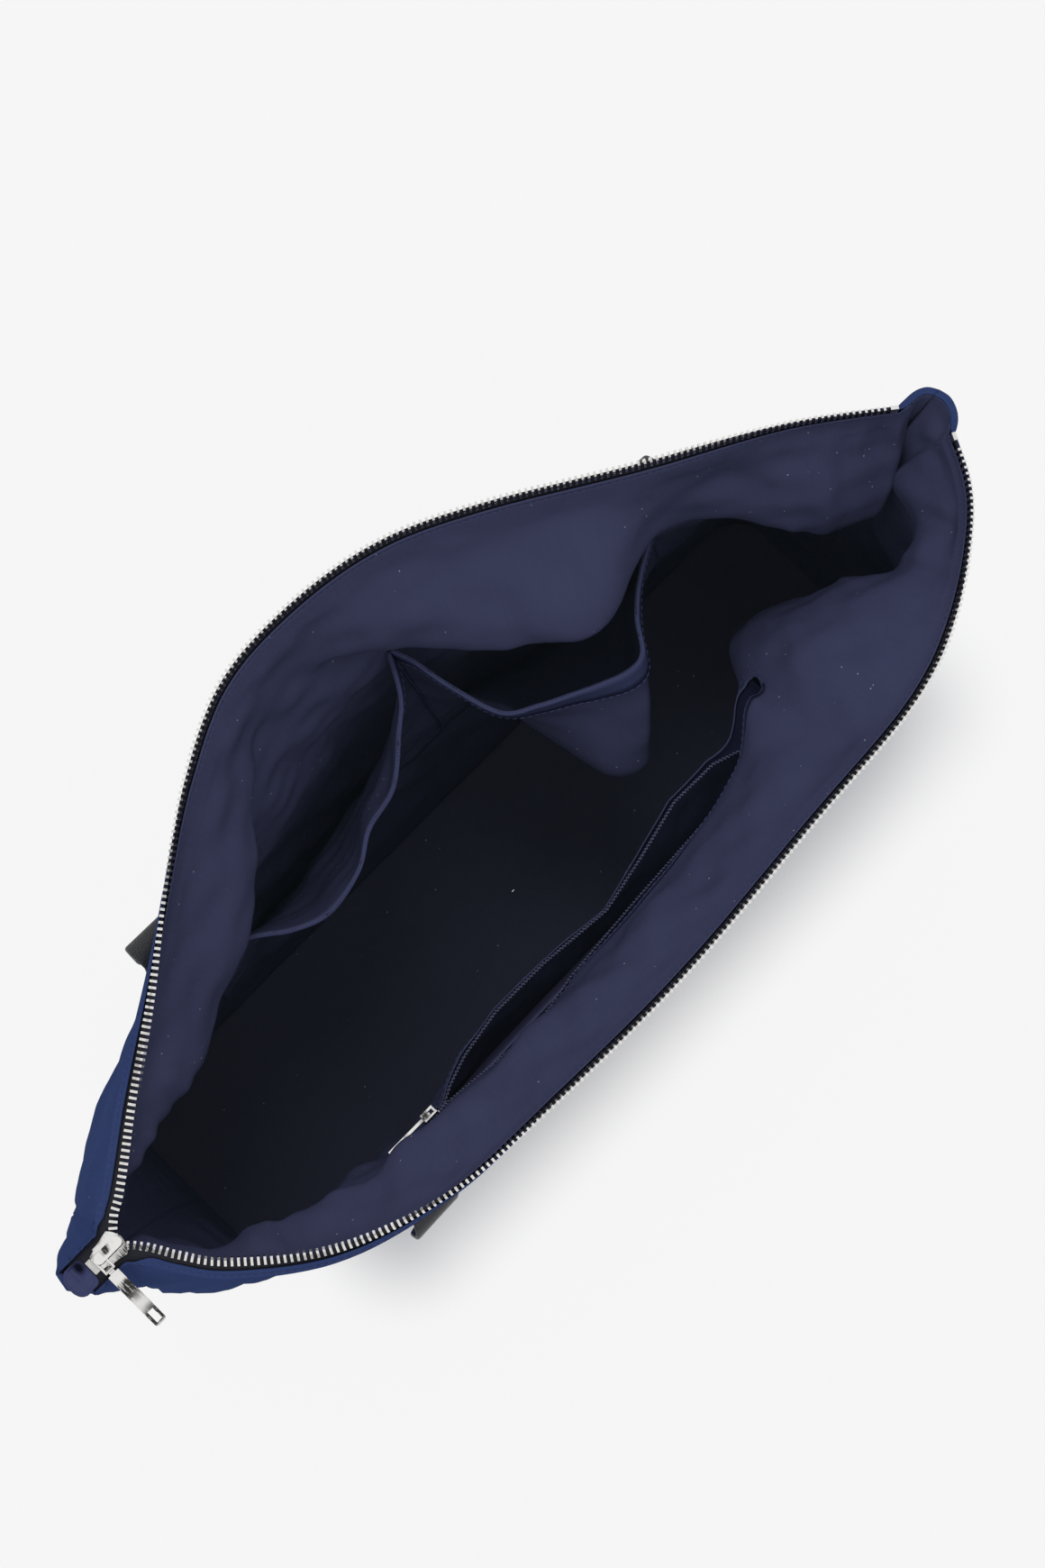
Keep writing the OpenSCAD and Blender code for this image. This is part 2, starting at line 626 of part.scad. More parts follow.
// Inner puller: a bar under the bail, two legs beside it and a narrow plate
inner_pin = 1.2;
inner_pin_y = inner_y + inner_room + inner_plate + inner_bail / 2;
module inner_puller() {
    leg = 1.1;
    gap = 1.6 + 2 * run_fit;                             // the bail passes between the legs
    eye = 4.6;
    color(metal) translate([inner_slider_x, inner_pin_y, slot_z]) rotate([-90, 0, 0]) {
        cylinder_l = gap + 2 * leg;
        rotate([90, 0, 0]) cylinder(d = inner_pin, h = cylinder_l, center = true, $fn = 32);
        for (s = [-1, 1]) translate([-eye, s * (gap + leg) / 2 - leg / 2, -inner_pin / 2])
            cube([eye, leg, inner_pin]);
        translate([-inner_puller_l, -cylinder_l / 2, -inner_pin / 2])
            cube([inner_puller_l - eye, cylinder_l, inner_pin]);
    }
}

// Pocket bag: one sheet that runs down as the outer leaf, round the foot and up again
// as the inner leaf to the slot's lower edge. The leaves close on each other at the sides.
bag_leaf = 0.6;
module inner_pocket_bag() {
    steps = 14;
    i0 = lookup(-inner_zip_l / 2, slot_steps);
    i1 = lookup(inner_zip_l / 2, slot_steps);
    low = slot_z - slot_h / 2;
    foot = low - inner_bag_h;
    function spread(w) = 0.1 + 0.9 * pow(sin(180 * w), 0.5);
    // s is -1 on the outer leaf and 1 on the inner one, d is 0 outside and 1 inside
    function point(w, z, s, d) =
        let (i = mix(i0, i1, w), v = down_at(-1, i, z + (d > 0 && z < foot + 1 ? bag_leaf : 0)),
            a = shell_t + seat, b = lining_in(-1, v) - 3 * seat - inner_tape_t,
            off = (a + b) / 2 + s * (b - a) / 2 * spread(w))
        skin(-1, i, v, off - s * bag_leaf * d);
    profile = concat(
        [for (k = [0:4]) [mix(low + slot_h, foot, k / 4), -1]],
        [for (k = [0:3]) [mix(foot, low - 1, k / 3), 1]]);
    function grid(d) = [for (p = profile) [for (j = [0:steps]) point(j / steps, p[0], p[1], d)]];
    color(lining_blue) sheet(grid(0), grid(1));
}

// ---------- handles ----------
hinge_low = 52;                                          // hinge lines below the rim
hinge_z = bag_h - hinge_low;
hinge_gaps = [[11.5, 7], [9.5, 10]];                       // off the front and back panels
root_l = 18;                                             // strap that bends, below its hinge
lean_out = [-13, 11];                                      // how far front and back loops lean
function panel_y(side, x) =
    let (i = step_at(side, x))
    skin(side, i, down_at(side, i, hinge_z), 0).y;
// The hinge line is straight between its two ends, each a little way off the panel.
function hinge_end(side, s) =
    panel_y(side, s * handle_span / 2) + side * hinge_gaps[side > 0 ? 1 : 0][s > 0 ? 1 : 0];
function hinge_y(side, x) = mix(hinge_end(side, -1), hinge_end(side, 1), x / handle_span + 0.5);
// Angle of the panel behind a strap's end, which turns flat below the hinge
function end_turn(side, x) =
    atan((panel_y(side, x + strap_w / 2) - panel_y(side, x - strap_w / 2)) / strap_w);
function strap_y(side, x, drop) =
    hinge_y(side, x) + side * lean_out[side > 0 ? 1 : 0] * drop / handle_drop;
// Point of a strap: x and drop of its middle, q = -1 or 1 for its edges, d out of its plane
function strap_point(side, x, drop, a, q, d) =
    let (w = q * strap_w / 2, px = x + w * cos(a))
    [px, strap_y(side, px, drop) + d, hinge_z - drop - w * sin(a)];

// Loop: two legs and a half circle
module handle_loop(side) {
    r = handle_span / 2;
    leg = handle_drop - strap_w / 2 - r;
    path = concat(
        [for (k = [0:5]) [-r, mix(root_l + seat, leg, k / 6), 180]],
        [for (k = [0:24]) let (a = 180 - 7.5 * k) [r * cos(a), leg + r * sin(a), a]],
        [for (k = [1:6]) [r, mix(leg, root_l + seat, k / 6), 0]]);
    function rows(d) = [for (p = path) [for (q = [-1, 1])
        strap_point(side, p[0], p[1], p[2], q, d)]];
    color(strap_black) sheet(rows(strap_t / 2), rows(-strap_t / 2));
}
module front_handle() { handle_loop(-1); }
module back_handle() { handle_loop(1); }

// Ends: sewn flat to the panel, over the hinge line in a bend and down to the loop.
// The face that lies on the panel ends up outermost, so d runs from 0 there to strap_t.
wall_lean = 25;                                          // lean of the panel under the bend
bend_from = 125;                                         // first angle round the bend
bend_step = 52;
module handle_ends(side) {
    function sewn(x, q, d, k) =
        let (i = step_at(side, x + q * strap_w / 2 * cos(end_turn(side, x))),
            z = hinge_z + 2 - sewn_l * (1 - k / 3))
        skin(side, i, down_at(side, i, z), -2 * seat - d);
    function hung(x, q, d, drop) =
        strap_point(side, x, drop, 0, q, side * (strap_t / 2 - d));
    function bent(x, q, d, a) =
        let (from = sewn(x, q, 0, 3), to = hung(x, q, 0, 0), across = flat(to - from),
            r = norm(across) / (1 + cos(wall_lean)), f = unit(across),
            p = from + f * (r * cos(wall_lean) + (r - d) * cos(a)))
        [p.x, p.y, hinge_z + (r - d) * sin(a)];
    function face(x, d) = [for (k = [0:7]) [for (q = [-1:0.5:1])
        k < 4 ? sewn(x, q, d, k) :
        k < 7 ? bent(x, q, d, bend_from - bend_step * (k - 4)) :
        hung(x, q, d, root_l)]];
    color(strap_black) for (x = [-handle_span / 2, handle_span / 2]) {
        if (side > 0) sheet(face(x, strap_t), face(x, 0));
        else sheet(face(x, 0), face(x, strap_t));
    }
}
module front_handle_ends() { handle_ends(-1); }
module back_handle_ends() { handle_ends(1); }

front_outer_panel();
back_outer_panel();
base_outer_panel();
front_lining();
back_lining();
base_lining();
front_zip_tape();
back_zip_tape();
front_zip_teeth();
back_zip_teeth();
front_top_stop();
back_top_stop();
bottom_stop();
zip_end_tab();
slider_body();
slider_bail();
puller_link();
puller();
left_slip_pocket();
right_slip_pocket();
inner_pocket_bag();
inner_zip_upper_tape();
inner_zip_lower_tape();
inner_zip_upper_coil();
inner_zip_lower_coil();
inner_end_stop();
inner_slider_body();
inner_puller();
front_handle_ends();
back_handle_ends();
front_handle();
back_handle();
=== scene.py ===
# %% [markdown]
# # A satin shopper bag with a metal zip, seen from above
#
# The imported CAD model is the frame: every piece below is placed by the same driving
# sizes, and the pieces made here ride on bodies of that frame, all but the handles' ends.
# The hard pieces (teeth, sliders, pullers) keep their CAD solids. The cloth is made anew
# here as surfaces on grids, because cloth needs folds, hems and soft edges that a solid
# for collisions lacks.

# %% Load the frame
import math
import bpy
import numpy as np
from mathutils import Matrix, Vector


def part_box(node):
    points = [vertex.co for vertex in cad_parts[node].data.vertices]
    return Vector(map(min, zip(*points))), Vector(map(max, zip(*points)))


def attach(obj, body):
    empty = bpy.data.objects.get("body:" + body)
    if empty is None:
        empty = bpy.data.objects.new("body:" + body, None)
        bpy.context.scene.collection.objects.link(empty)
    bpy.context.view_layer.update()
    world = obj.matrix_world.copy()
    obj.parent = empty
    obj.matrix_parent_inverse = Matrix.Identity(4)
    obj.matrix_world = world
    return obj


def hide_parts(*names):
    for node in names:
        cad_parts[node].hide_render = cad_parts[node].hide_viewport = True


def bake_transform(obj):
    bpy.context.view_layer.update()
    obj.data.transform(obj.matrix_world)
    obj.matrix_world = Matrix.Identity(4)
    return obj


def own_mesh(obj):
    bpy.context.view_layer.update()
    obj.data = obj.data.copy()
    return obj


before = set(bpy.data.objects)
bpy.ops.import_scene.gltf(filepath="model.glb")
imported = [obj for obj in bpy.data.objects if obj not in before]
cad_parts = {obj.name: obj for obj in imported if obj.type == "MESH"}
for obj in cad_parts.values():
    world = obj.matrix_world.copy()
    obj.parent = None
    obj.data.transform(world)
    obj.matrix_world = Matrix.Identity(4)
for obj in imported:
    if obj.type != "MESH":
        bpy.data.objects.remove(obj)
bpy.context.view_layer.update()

# %% [markdown]
# ## Sizes
#
# All sizes are in millimetres, as a bag maker would note them, and are turned into
# metres when a mesh is made. The CAD nodes give what they can, such as the height of the
# base lining and the place of the zip's end tab. The bag stands on z = 0, +X runs towards
# the far end of the zip and +Y towards the back panel.

# %% Driving sizes
MM = 0.001
BACK, FRONT = 1, -1
side_words = {BACK: "back", FRONT: "front"}


def low_high(node):
    """Lowest and highest corner of a CAD node in millimetres."""
    low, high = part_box(node)
    return np.array(low) / MM, np.array(high) / MM


rim_height = 292.0          # at the middle of the front
back_rise = 8.0             # the back of the rim stands this much higher
end_drop = 10.0             # both ends of the rim droop by this
mouth_width = 450.0
mouth_reach = {BACK: 124.0, FRONT: 83.0}
base_length, base_depth, base_middle, base_round, base_high = 415.0, 125.0, 8.0, 28.0, 3.0
tooth_spacing = 2.5
tape_width, tape_thick = 7.0, 0.7
slider_length = 14.0
cloth_gap = 0.3             # between two cloths that lie on each other
outer_thick = 1.6           # room that the CAD keeps for the outer panel
pocket_room = 10.0          # between the outer panel and the lining
zip_line = -2.0             # y at which the two rows meet inside the slider
print("slider's middle:", np.round(sum(low_high("slider_body")) / 2, 2))

# %% [markdown]
# ## Small tools for curves
#
# A given outline has a few points. A Catmull-Rom curve passes through all of them,
# and resampling by running length spreads stations evenly, as pins along a seam.

# %% Curves


def smooth(k):
    """3k^2 - 2k^3 between 0 and 1, flat outside: a step without a corner."""
    c = np.clip(k, 0, 1)
    return c * c * (3 - 2 * c)


def unit(v):
    """Each vector divided by its own length."""
    return v / np.maximum(np.linalg.norm(v, axis=-1, keepdims=True), 1e-9)


def spline(points, steps):
    """Catmull-Rom curve: half of (2b + (c-a)k + (2a-5b+4c-d)k^2 + (3b-a-3c+d)k^3)."""
    p = np.array(points, float)
    q = np.vstack([p[:1], p, p[-1:]])
    k = np.linspace(0, 1, steps, endpoint=False)[None, :, None]
    a, b, c, d = (q[i:len(q) - 3 + i, None] for i in range(4))
    body = 0.5 * (2 * b + (c - a) * k + (2 * a - 5 * b + 4 * c - d) * k**2
                  + (3 * b - a - 3 * c + d) * k**3)
    return np.vstack([body.reshape(-1, p.shape[1]), p[-1:]])


def running(points):
    """Length along a polyline, from 0 at its first point."""
    return np.concatenate([[0], np.cumsum(np.linalg.norm(np.diff(points, axis=0), axis=1))])


def at_lengths(points, values, lengths):
    """Columns of values, given at the points of a polyline, read off at the lengths."""
    s = running(points)
    return np.stack([np.interp(lengths, s, c) for c in np.array(values).T], axis=-1)


def even(points, count):
    """The same polyline as count + 1 points at equal lengths."""
    s = running(points)
    return at_lengths(points, points, np.linspace(0, s[-1], count + 1))


def ripple(a, b, seed, length, count=9):
    """Sum of count sine waves over the plane (a, b) in mm, with wave lengths near
    `length` and headings and phases from a seeded draw. Between about -1 and 1."""
    rng = np.random.default_rng(seed)
    heading = rng.uniform(0, math.pi, count)
    wave = 2 * math.pi / (length * rng.uniform(0.6, 1.7, count))
    phase = rng.uniform(0, 2 * math.pi, count)
    along = a[..., None] * np.cos(heading) + b[..., None] * np.sin(heading)
    return np.sin(along * wave + phase).sum(-1) / count**0.5 / 1.6


print("a spline of 3 points in 4 steps:", spline([[0, 0], [1, 1], [2, 0]], 4).shape)

# %% [markdown]
# ## The two rows of the zip
#
# Each row starts behind the slider, leaves it and bows out round the open mouth. The bows
# are shares of the half width and of the reach to each side. The CAD cuts a row into
# stretches of two teeth; using the same stretches puts the tapes right between the
# teeth's legs. The tape lies flat at the slider, stands up along the sides and flops
# outwards in the middle: its lean is looked up by the length along the row.

# %% Rows, tape headings and folds
half_width = mouth_width / 2
slider_x = -half_width - 3.0
chain_half = 1.05
end_tab_length = 12.0
tail = slider_length / 2 + 1 + end_tab_length
bow = {
    BACK: [(-0.97, 0.06), (-0.94, 0.09), (-0.885, 0.16), (-0.81, 0.26), (-0.66, 0.45),
           (-0.515, 0.65), (-0.365, 0.84), (-0.2, 0.98), (-0.02, 1), (0.16, 0.945),
           (0.33, 0.805), (0.565, 0.555), (0.805, 0.315), (0.97, 0.1)],
    FRONT: [(-0.975, 0.07), (-0.955, 0.145), (-0.935, 0.24), (-0.88, 0.435), (-0.74, 0.735),
            (-0.565, 0.915), (-0.385, 0.975), (-0.02, 1), (0.345, 0.93), (0.62, 0.87),
            (0.79, 0.7), (0.94, 0.4), (1.005, 0.11)],
}
lean_lengths = [30, 50, 90, 150, 210, 440, 490, 530]
lean_angles = [0, 8, 40, 88, 116, 116, 98, 90]


def rim_z(x, side):
    """Height of a row: the rim less the droop of its ends, plus the rise of the back."""
    k = min(1, abs(x) / half_width) ** 2
    return rim_height - end_drop * k + (back_rise * (1 - k) if side == BACK else 0)


def row_points(side):
    """A row as points at every second tooth."""
    line = [(slider_x + x, zip_line + side * chain_half)
            for x in (-tail, -tail / 2, 0, slider_length / 4)]
    line += [(k * half_width, zip_line + side * mouth_reach[side] * r) for k, r in bow[side]]
    curve = spline([(x, y, rim_z(x, side)) for x, y in line], 6)
    return even(curve, int(running(curve)[-1] // (2 * tooth_spacing)))


def row_frame(side):
    """Row points r, tape heading d (fold to teeth) and outward normal n at each.

    d leans from flat into the mouth to upright and past it; n is side times d x t."""
    r = row_points(side)
    i = np.arange(len(r))
    t = unit(r[np.minimum(i + 1, len(r) - 1)] - r[np.maximum(i - 1, 0)])
    out = unit(side * np.stack([-t[:, 1], t[:, 0], 0 * t[:, 0]], -1))
    a = np.radians(np.interp(i * 2 * tooth_spacing, lean_lengths, lean_angles))[:, None]
    d = -out * np.cos(a) + np.array([0, 0, 1.0]) * np.sin(a)
    d = unit(d - t * (d * t).sum(-1, keepdims=True))
    return {"r": r, "d": d, "n": side * np.cross(d, t), "t": t}


rows = {side: row_frame(side) for side in (BACK, FRONT)}
for side in (BACK, FRONT):
    rows[side]["fold"] = rows[side]["r"] - rows[side]["d"] * tape_width
    print("row of", round(running(rows[side]["r"])[-1]), "mm with", len(rows[side]["r"]), "points")

# %% [markdown]
# ## The wall of the bag
#
# One surface for each side runs from the rim down to the base's outline. Its two
# parameters are a share u along the rim and a share v down the wall. The wall flares
# towards the rim by a power of (1 - v), puffs out round the slider, and any cloth lies at
# a distance d inwards from it, so outer panels, lining and pockets share one formula.

# %% Rim, base outline and wall
stations = 441
every = np.arange(stations)
share = np.linspace(0, 1, stations)
seam_z = rim_z(half_width, BACK) - tape_thick / 2 - cloth_gap
left_seam = np.array([slider_x - 20.0, zip_line + 1, seam_z])
right_seam = np.array([half_width + 9.8, zip_line + 6.2, seam_z])
bridge = {                  # fabric that rounds the corner between the zip's two top stops
    BACK: [(222.5, 11.6, 277.3), (228.0, 10.9, 280.0), (232.2, 8.4, 281.5)],
    FRONT: [(230.4, -10.4, 277.0), (234.0, -6.2, 280.0), (235.6, -0.8, 281.6)],
}
skipped = {BACK: 0, FRONT: 1}   # points of the row that the rounded left corner cuts off
seam_flare, flare = 2.0, {BACK: 1.1, FRONT: 4.0}
steps = 44                  # the CAD's steps along a panel
shoulder, shoulder_fade = 9.0, 13       # puff round the slider, and the CAD steps that end it
foot_pinch, pinch_x, pinch_width = 12.0, -191.7, 25.0   # at the front's foot, left of the strap


def base_outline(side):
    """Half of the base's outline: two quarter circles joined by straights, drawn in at
    the front by foot_pinch exp(-((x - pinch_x) / pinch_width)^2)."""
    arc = np.linspace(0, math.pi / 2, 9)[:, None]
    x0, y0 = base_length / 2 - base_round, base_depth / 2 - base_round
    turn = np.hstack([np.cos(arc), np.sin(arc)]) * base_round
    left = np.hstack([-x0 - turn[:, :1], base_middle + side * (y0 + turn[:, 1:])])
    right = np.hstack([x0 + turn[::-1, :1], base_middle + side * (y0 + turn[::-1, 1:])])
    first, last = ([[x, base_middle]] for x in (-base_length / 2, base_length / 2))
    flat = even(np.vstack([first, left, right, last]), stations - 1)
    if side == FRONT:
        frontal = np.clip((base_middle - flat[:, 1]) / (base_depth / 2), 0, 1)
        flat[:, 1] += foot_pinch * frontal * np.exp(-((flat[:, 0] - pinch_x) / pinch_width) ** 2)
    return even(np.hstack([flat, np.full((len(flat), 1), base_high)]), stations - 1)


def rim_stations(side):
    """Rim point, tooth root, tape heading and normal at each station."""
    row = rows[side]
    drop = np.array([0, 0, tape_thick / 2 + cloth_gap])
    skip = skipped[side]
    corner = spline([row["fold"][-1] - drop, *bridge[side], right_seam], 4)[1:]
    line = np.vstack([left_seam, row["fold"][skip:] - drop, corner])
    length = running(line)
    extra = len(line) - 1 - len(row["r"]) + skip
    pick = np.linspace(0, length[-1], stations)
    out = {"rim": at_lengths(line, line, pick), "length": pick}
    for key in ("r", "d", "n"):
        values = row[key][skip:]
        values = np.vstack([values[:1], values, np.repeat(values[-1:], extra, axis=0)])
        out[key] = at_lengths(line, values, pick)
    fade_end = 8.0
    out["on_tape"] = smooth((length[-1 - extra] + fade_end - pick) / fade_end)
    return out


rim = {side: rim_stations(side) for side in (BACK, FRONT)}
base = {side: base_outline(side) for side in (BACK, FRONT)}


def outwards(line, side):
    """Horizontal outward normal of a line of stations, along X at both seams."""
    reach = (stations - 1) // steps
    t = line[np.minimum(every + reach, stations - 1)] - line[np.maximum(every - reach, 0)]
    out = unit(side * np.stack([-t[:, 1], t[:, 0], 0 * t[:, 0]], -1))
    near = np.clip(1 - np.minimum(every, stations - 1 - every) / reach, 0, 1)[:, None]
    end = np.where(share[:, None] < 0.5, [[-1.0, 0, 0]], [[1.0, 0, 0]])
    return unit(out * (1 - near) + end * near)


def plain_wall(side, v):
    """Points at share v down (one number): base + (rim - base)(1 - v)^flare in plan and
    a straight mix in height."""
    i = share * steps
    power = seam_flare + (flare[side] - seam_flare) * smooth(np.minimum(i, steps - i) / 7)
    p = base[side] + (rim[side]["rim"] - base[side]) * ((1 - v) ** power)[:, None]
    p[:, 2] = rim[side]["rim"][:, 2] * (1 - v) + base_high * v
    return p


shares_down = np.linspace(0, 1, 101) ** 1.5
walls = {side: np.stack([plain_wall(side, v) for v in shares_down]) for side in (BACK, FRONT)}
normals = {side: np.stack([outwards(p, side) for p in walls[side]]) for side in (BACK, FRONT)}


def read_off(table, i, v):
    """Bilinear reading of a table of shares down x stations at station i and share v."""
    a = np.clip(np.interp(v, shares_down, np.arange(101)), 0, 99.999)
    b = np.clip(i, 0, stations - 1.001)
    a0, b0 = a.astype(int), b.astype(int)
    fa, fb = (a - a0)[..., None], (b - b0)[..., None]
    top = table[a0, b0] * (1 - fb) + table[a0, b0 + 1] * fb
    low = table[a0 + 1, b0] * (1 - fb) + table[a0 + 1, b0 + 1] * fb
    return top * (1 - fa) + low * fa


def wall(side, i, v, d):
    """Wall at station i, share v down and distance d inwards, with the puff of
    shoulder * sin(pi sqrt(v)) that dies out shoulder_fade CAD steps past the slider."""
    i, v, d = np.broadcast_arrays(*(np.asarray(q, float) for q in (i, v, d)))
    step = i * steps / (stations - 1)
    puff = shoulder * (1 - smooth((step - 2) / shoulder_fade)) * np.sin(math.pi * np.sqrt(np.clip(v, 0, 1)))
    return read_off(walls[side], i, v) + read_off(normals[side], i, v) * (puff - d)[..., None]


def share_at(side, i, z):
    """Share down at which the wall passes height z at station i."""
    top = np.interp(i, every, rim[side]["rim"][:, 2])
    return np.clip((top - z) / (top - base_high), 0, 1)


def station_at(side, x):
    """Station at which the rim passes x."""
    return np.interp(x, rim[side]["rim"][:, 0], every)


rim_gap = outer_thick + tape_thick + 2 * cloth_gap


def lining_in(side, v):
    """Distance of the lining from the wall: close at the rim, slack below."""
    wide = smooth(v / {BACK: 0.25, FRONT: 0.12}[side])
    return rim_gap + (outer_thick + pocket_room - rim_gap) * wide + 3 * np.sin(math.pi * v**0.55)


print("wall at half height:", np.round(wall(BACK, stations // 2, 0.5, 0), 1))

# %% [markdown]
# ## From grids to meshes
#
# A grid of rows x columns points becomes quads. Each cloth keeps a UV map in
# centimetres along its own threads, measured on the grid, so that a weave follows the
# cloth round every fold. `flip` turns the faces, since a grid that runs the other way
# round would look inwards.

# %% Grid tools


def grid_faces(rows_n, cols_n, closed=False):
    """Quads between neighbouring rows and columns; closed joins the last column to the first."""
    j = np.arange(cols_n if closed else cols_n - 1)
    i = np.arange(rows_n - 1)[:, None] * cols_n
    right = (j + 1) % cols_n
    return np.stack([i + j, i + right, i + cols_n + right, i + cols_n + j], -1).reshape(-1, 4)


def cloth_uv(p):
    """(along, down) lengths in cm: mean running length of rows and of columns."""
    along = np.concatenate([[0], np.cumsum(np.linalg.norm(np.diff(p, axis=1), axis=2).mean(0))])
    down = np.concatenate([[0], np.cumsum(np.linalg.norm(np.diff(p, axis=0), axis=2).mean(1))])
    return np.stack(np.broadcast_arrays(along[None, :], down[:, None]), -1).reshape(-1, 2) / 10


def make_mesh(name, points, faces, uv=None, smooth_faces=True):
    """New object at the origin from points in mm, with a UV map given per point."""
    mesh = bpy.data.meshes.new(name)
    mesh.from_pydata((np.asarray(points) * MM).tolist(), [], [list(f) for f in faces])
    mesh.polygons.foreach_set("use_smooth", np.full(len(mesh.polygons), smooth_faces))
    if uv is not None:
        loops = np.empty(len(mesh.loops), int)
        mesh.loops.foreach_get("vertex_index", loops)
        layer = mesh.uv_layers.new(name="threads")
        layer.data.foreach_set("uv", np.asarray(uv)[loops].ravel().astype(np.float32))
    mesh.update()
    piece = bpy.data.objects.new(name, mesh)
    bpy.context.scene.collection.objects.link(piece)
    return piece


def grid_piece(name, p, flip=False, closed=False, keep=None):
    """Object from a grid p of shape rows x columns x 3; keep masks its quads."""
    faces = grid_faces(p.shape[0], p.shape[1], closed)
    if keep is not None:
        faces = faces[keep.ravel()]
    if flip:
        faces = faces[:, ::-1]
    return make_mesh(name, p.reshape(-1, 3), faces, cloth_uv(p))


def thicken(piece, mm, offset=-1.0):
    """Solidify: gives a sheet its thickness, inwards from its faces at offset -1."""
    mod = piece.modifiers.new("thickness", "SOLIDIFY")
    mod.thickness = mm * MM
    mod.offset = offset
    mod.use_even_offset = False
    return piece


def finish_piece(piece, body, slot, material, *nodes):
    """Rides on a body, takes a material, and stands for CAD nodes; its slot is not used."""
    piece.data.materials.clear()
    piece.data.materials.append(material)
    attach(piece, body)
    if nodes:
        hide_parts(*nodes)
    return piece


print("a 3 x 4 grid has", len(grid_faces(3, 4)), "quads")

# %% [markdown]
# ## Camera
#
# The bag is seen from 82 degrees above the horizon, with its length running from lower
# left to upper right. A long lens at 1.6 m keeps the inside's perspective mild.

# %% Camera
azimuth, elevation = math.radians(-45.5), math.radians(82)
camera_far, lens_mm = 1600.0, 96
aim_right, aim_up = -1.4, 13.4          # of the rim's middle, as the camera sees it
right = np.array([math.cos(azimuth), math.sin(azimuth), 0])
back = np.array([math.sin(azimuth) * math.cos(elevation),
                 -math.cos(azimuth) * math.cos(elevation), math.sin(elevation)])
up = np.cross(back, right)
aim = np.array([0, 0, rim_height]) + aim_right * right + aim_up * up
eye = aim + camera_far * back
camera = bpy.data.objects.new("camera", bpy.data.cameras.new("camera"))
bpy.context.scene.collection.objects.link(camera)
camera.data.lens = lens_mm
camera.matrix_world = Matrix([[*(float(c) for c in (right[i], up[i], back[i])), float(eye[i] * MM)]
                              for i in range(3)] + [[0, 0, 0, 1]])
bpy.context.scene.camera = camera
print("camera at", np.round(eye), "mm")

# %% [markdown]
# ## Floor, sky and lamp
#
# A studio hangs a wide soft box overhead, so flat cloth is bright, steep cloth is darker
# and the depth of the bag gets least. The sky here does the same by the
# height of the ray. The camera sees plain white, and metal sees white with one dark flag,
# since a mirror needs something dark to show its shape. One soft lamp casts the shadow.

# %% Stage
paper_white = 0.92
flag_way = (-0.05, 0.33, 0.943)
shade_line = (-140.0, 190.0, -62.0)     # from x to x at y: the floor keeps its shade near it


def new_tree(owner):
    """Empty node tree of a material or world."""
    owner.use_nodes = True
    owner.node_tree.nodes.clear()
    return owner.node_tree


def feed(tree, n, inputs):
    """Sets a node's inputs to values or sockets. A key is the input's name, with spaces
    written as _, or i and its number."""
    for key, value in inputs.items():
        numbered = key[0] == "i" and key[1:].isdigit()
        socket = n.inputs[int(key[1:]) if numbered else key.replace("_", " ")]
        if isinstance(value, bpy.types.NodeSocket):
            tree.links.new(value, socket)
        else:
            socket.default_value = value
    return n


def add(tree, kind, **inputs):
    """Adds a node with these inputs."""
    return feed(tree, tree.nodes.new(kind), inputs)


def place_of(tree, kind="Object"):
    """Coordinates of a point: Object ones, or Generated for the sky's directions."""
    return tree.nodes.new("ShaderNodeTexCoord").outputs[kind]


def finish_tree(tree, surface, kind="Material"):
    """Links a shader to the output of a material or world."""
    tree.links.new(surface.outputs[0], tree.nodes.new("ShaderNodeOutput" + kind).inputs[0])


def math_node(tree, operation, a, b=0.0, c=0.0):
    """Math node's result socket."""
    n = add(tree, "ShaderNodeMath", i0=a, i1=b, i2=c)
    n.operation = operation
    return n.outputs[0]


def vector_math(tree, operation, a, b):
    """Vector Math node's outputs: Vector, or Value for a distance or a dot product."""
    n = add(tree, "ShaderNodeVectorMath", i0=a, i1=b)
    n.operation = operation
    return n.outputs


def remap(tree, value, from_low, from_high, to_low, to_high, kind="LINEAR"):
    """Map Range node's result socket."""
    n = add(tree, "ShaderNodeMapRange", Value=value, From_Min=from_low, From_Max=from_high,
            To_Min=to_low, To_Max=to_high)
    n.interpolation_type = kind
    return n.outputs[0]


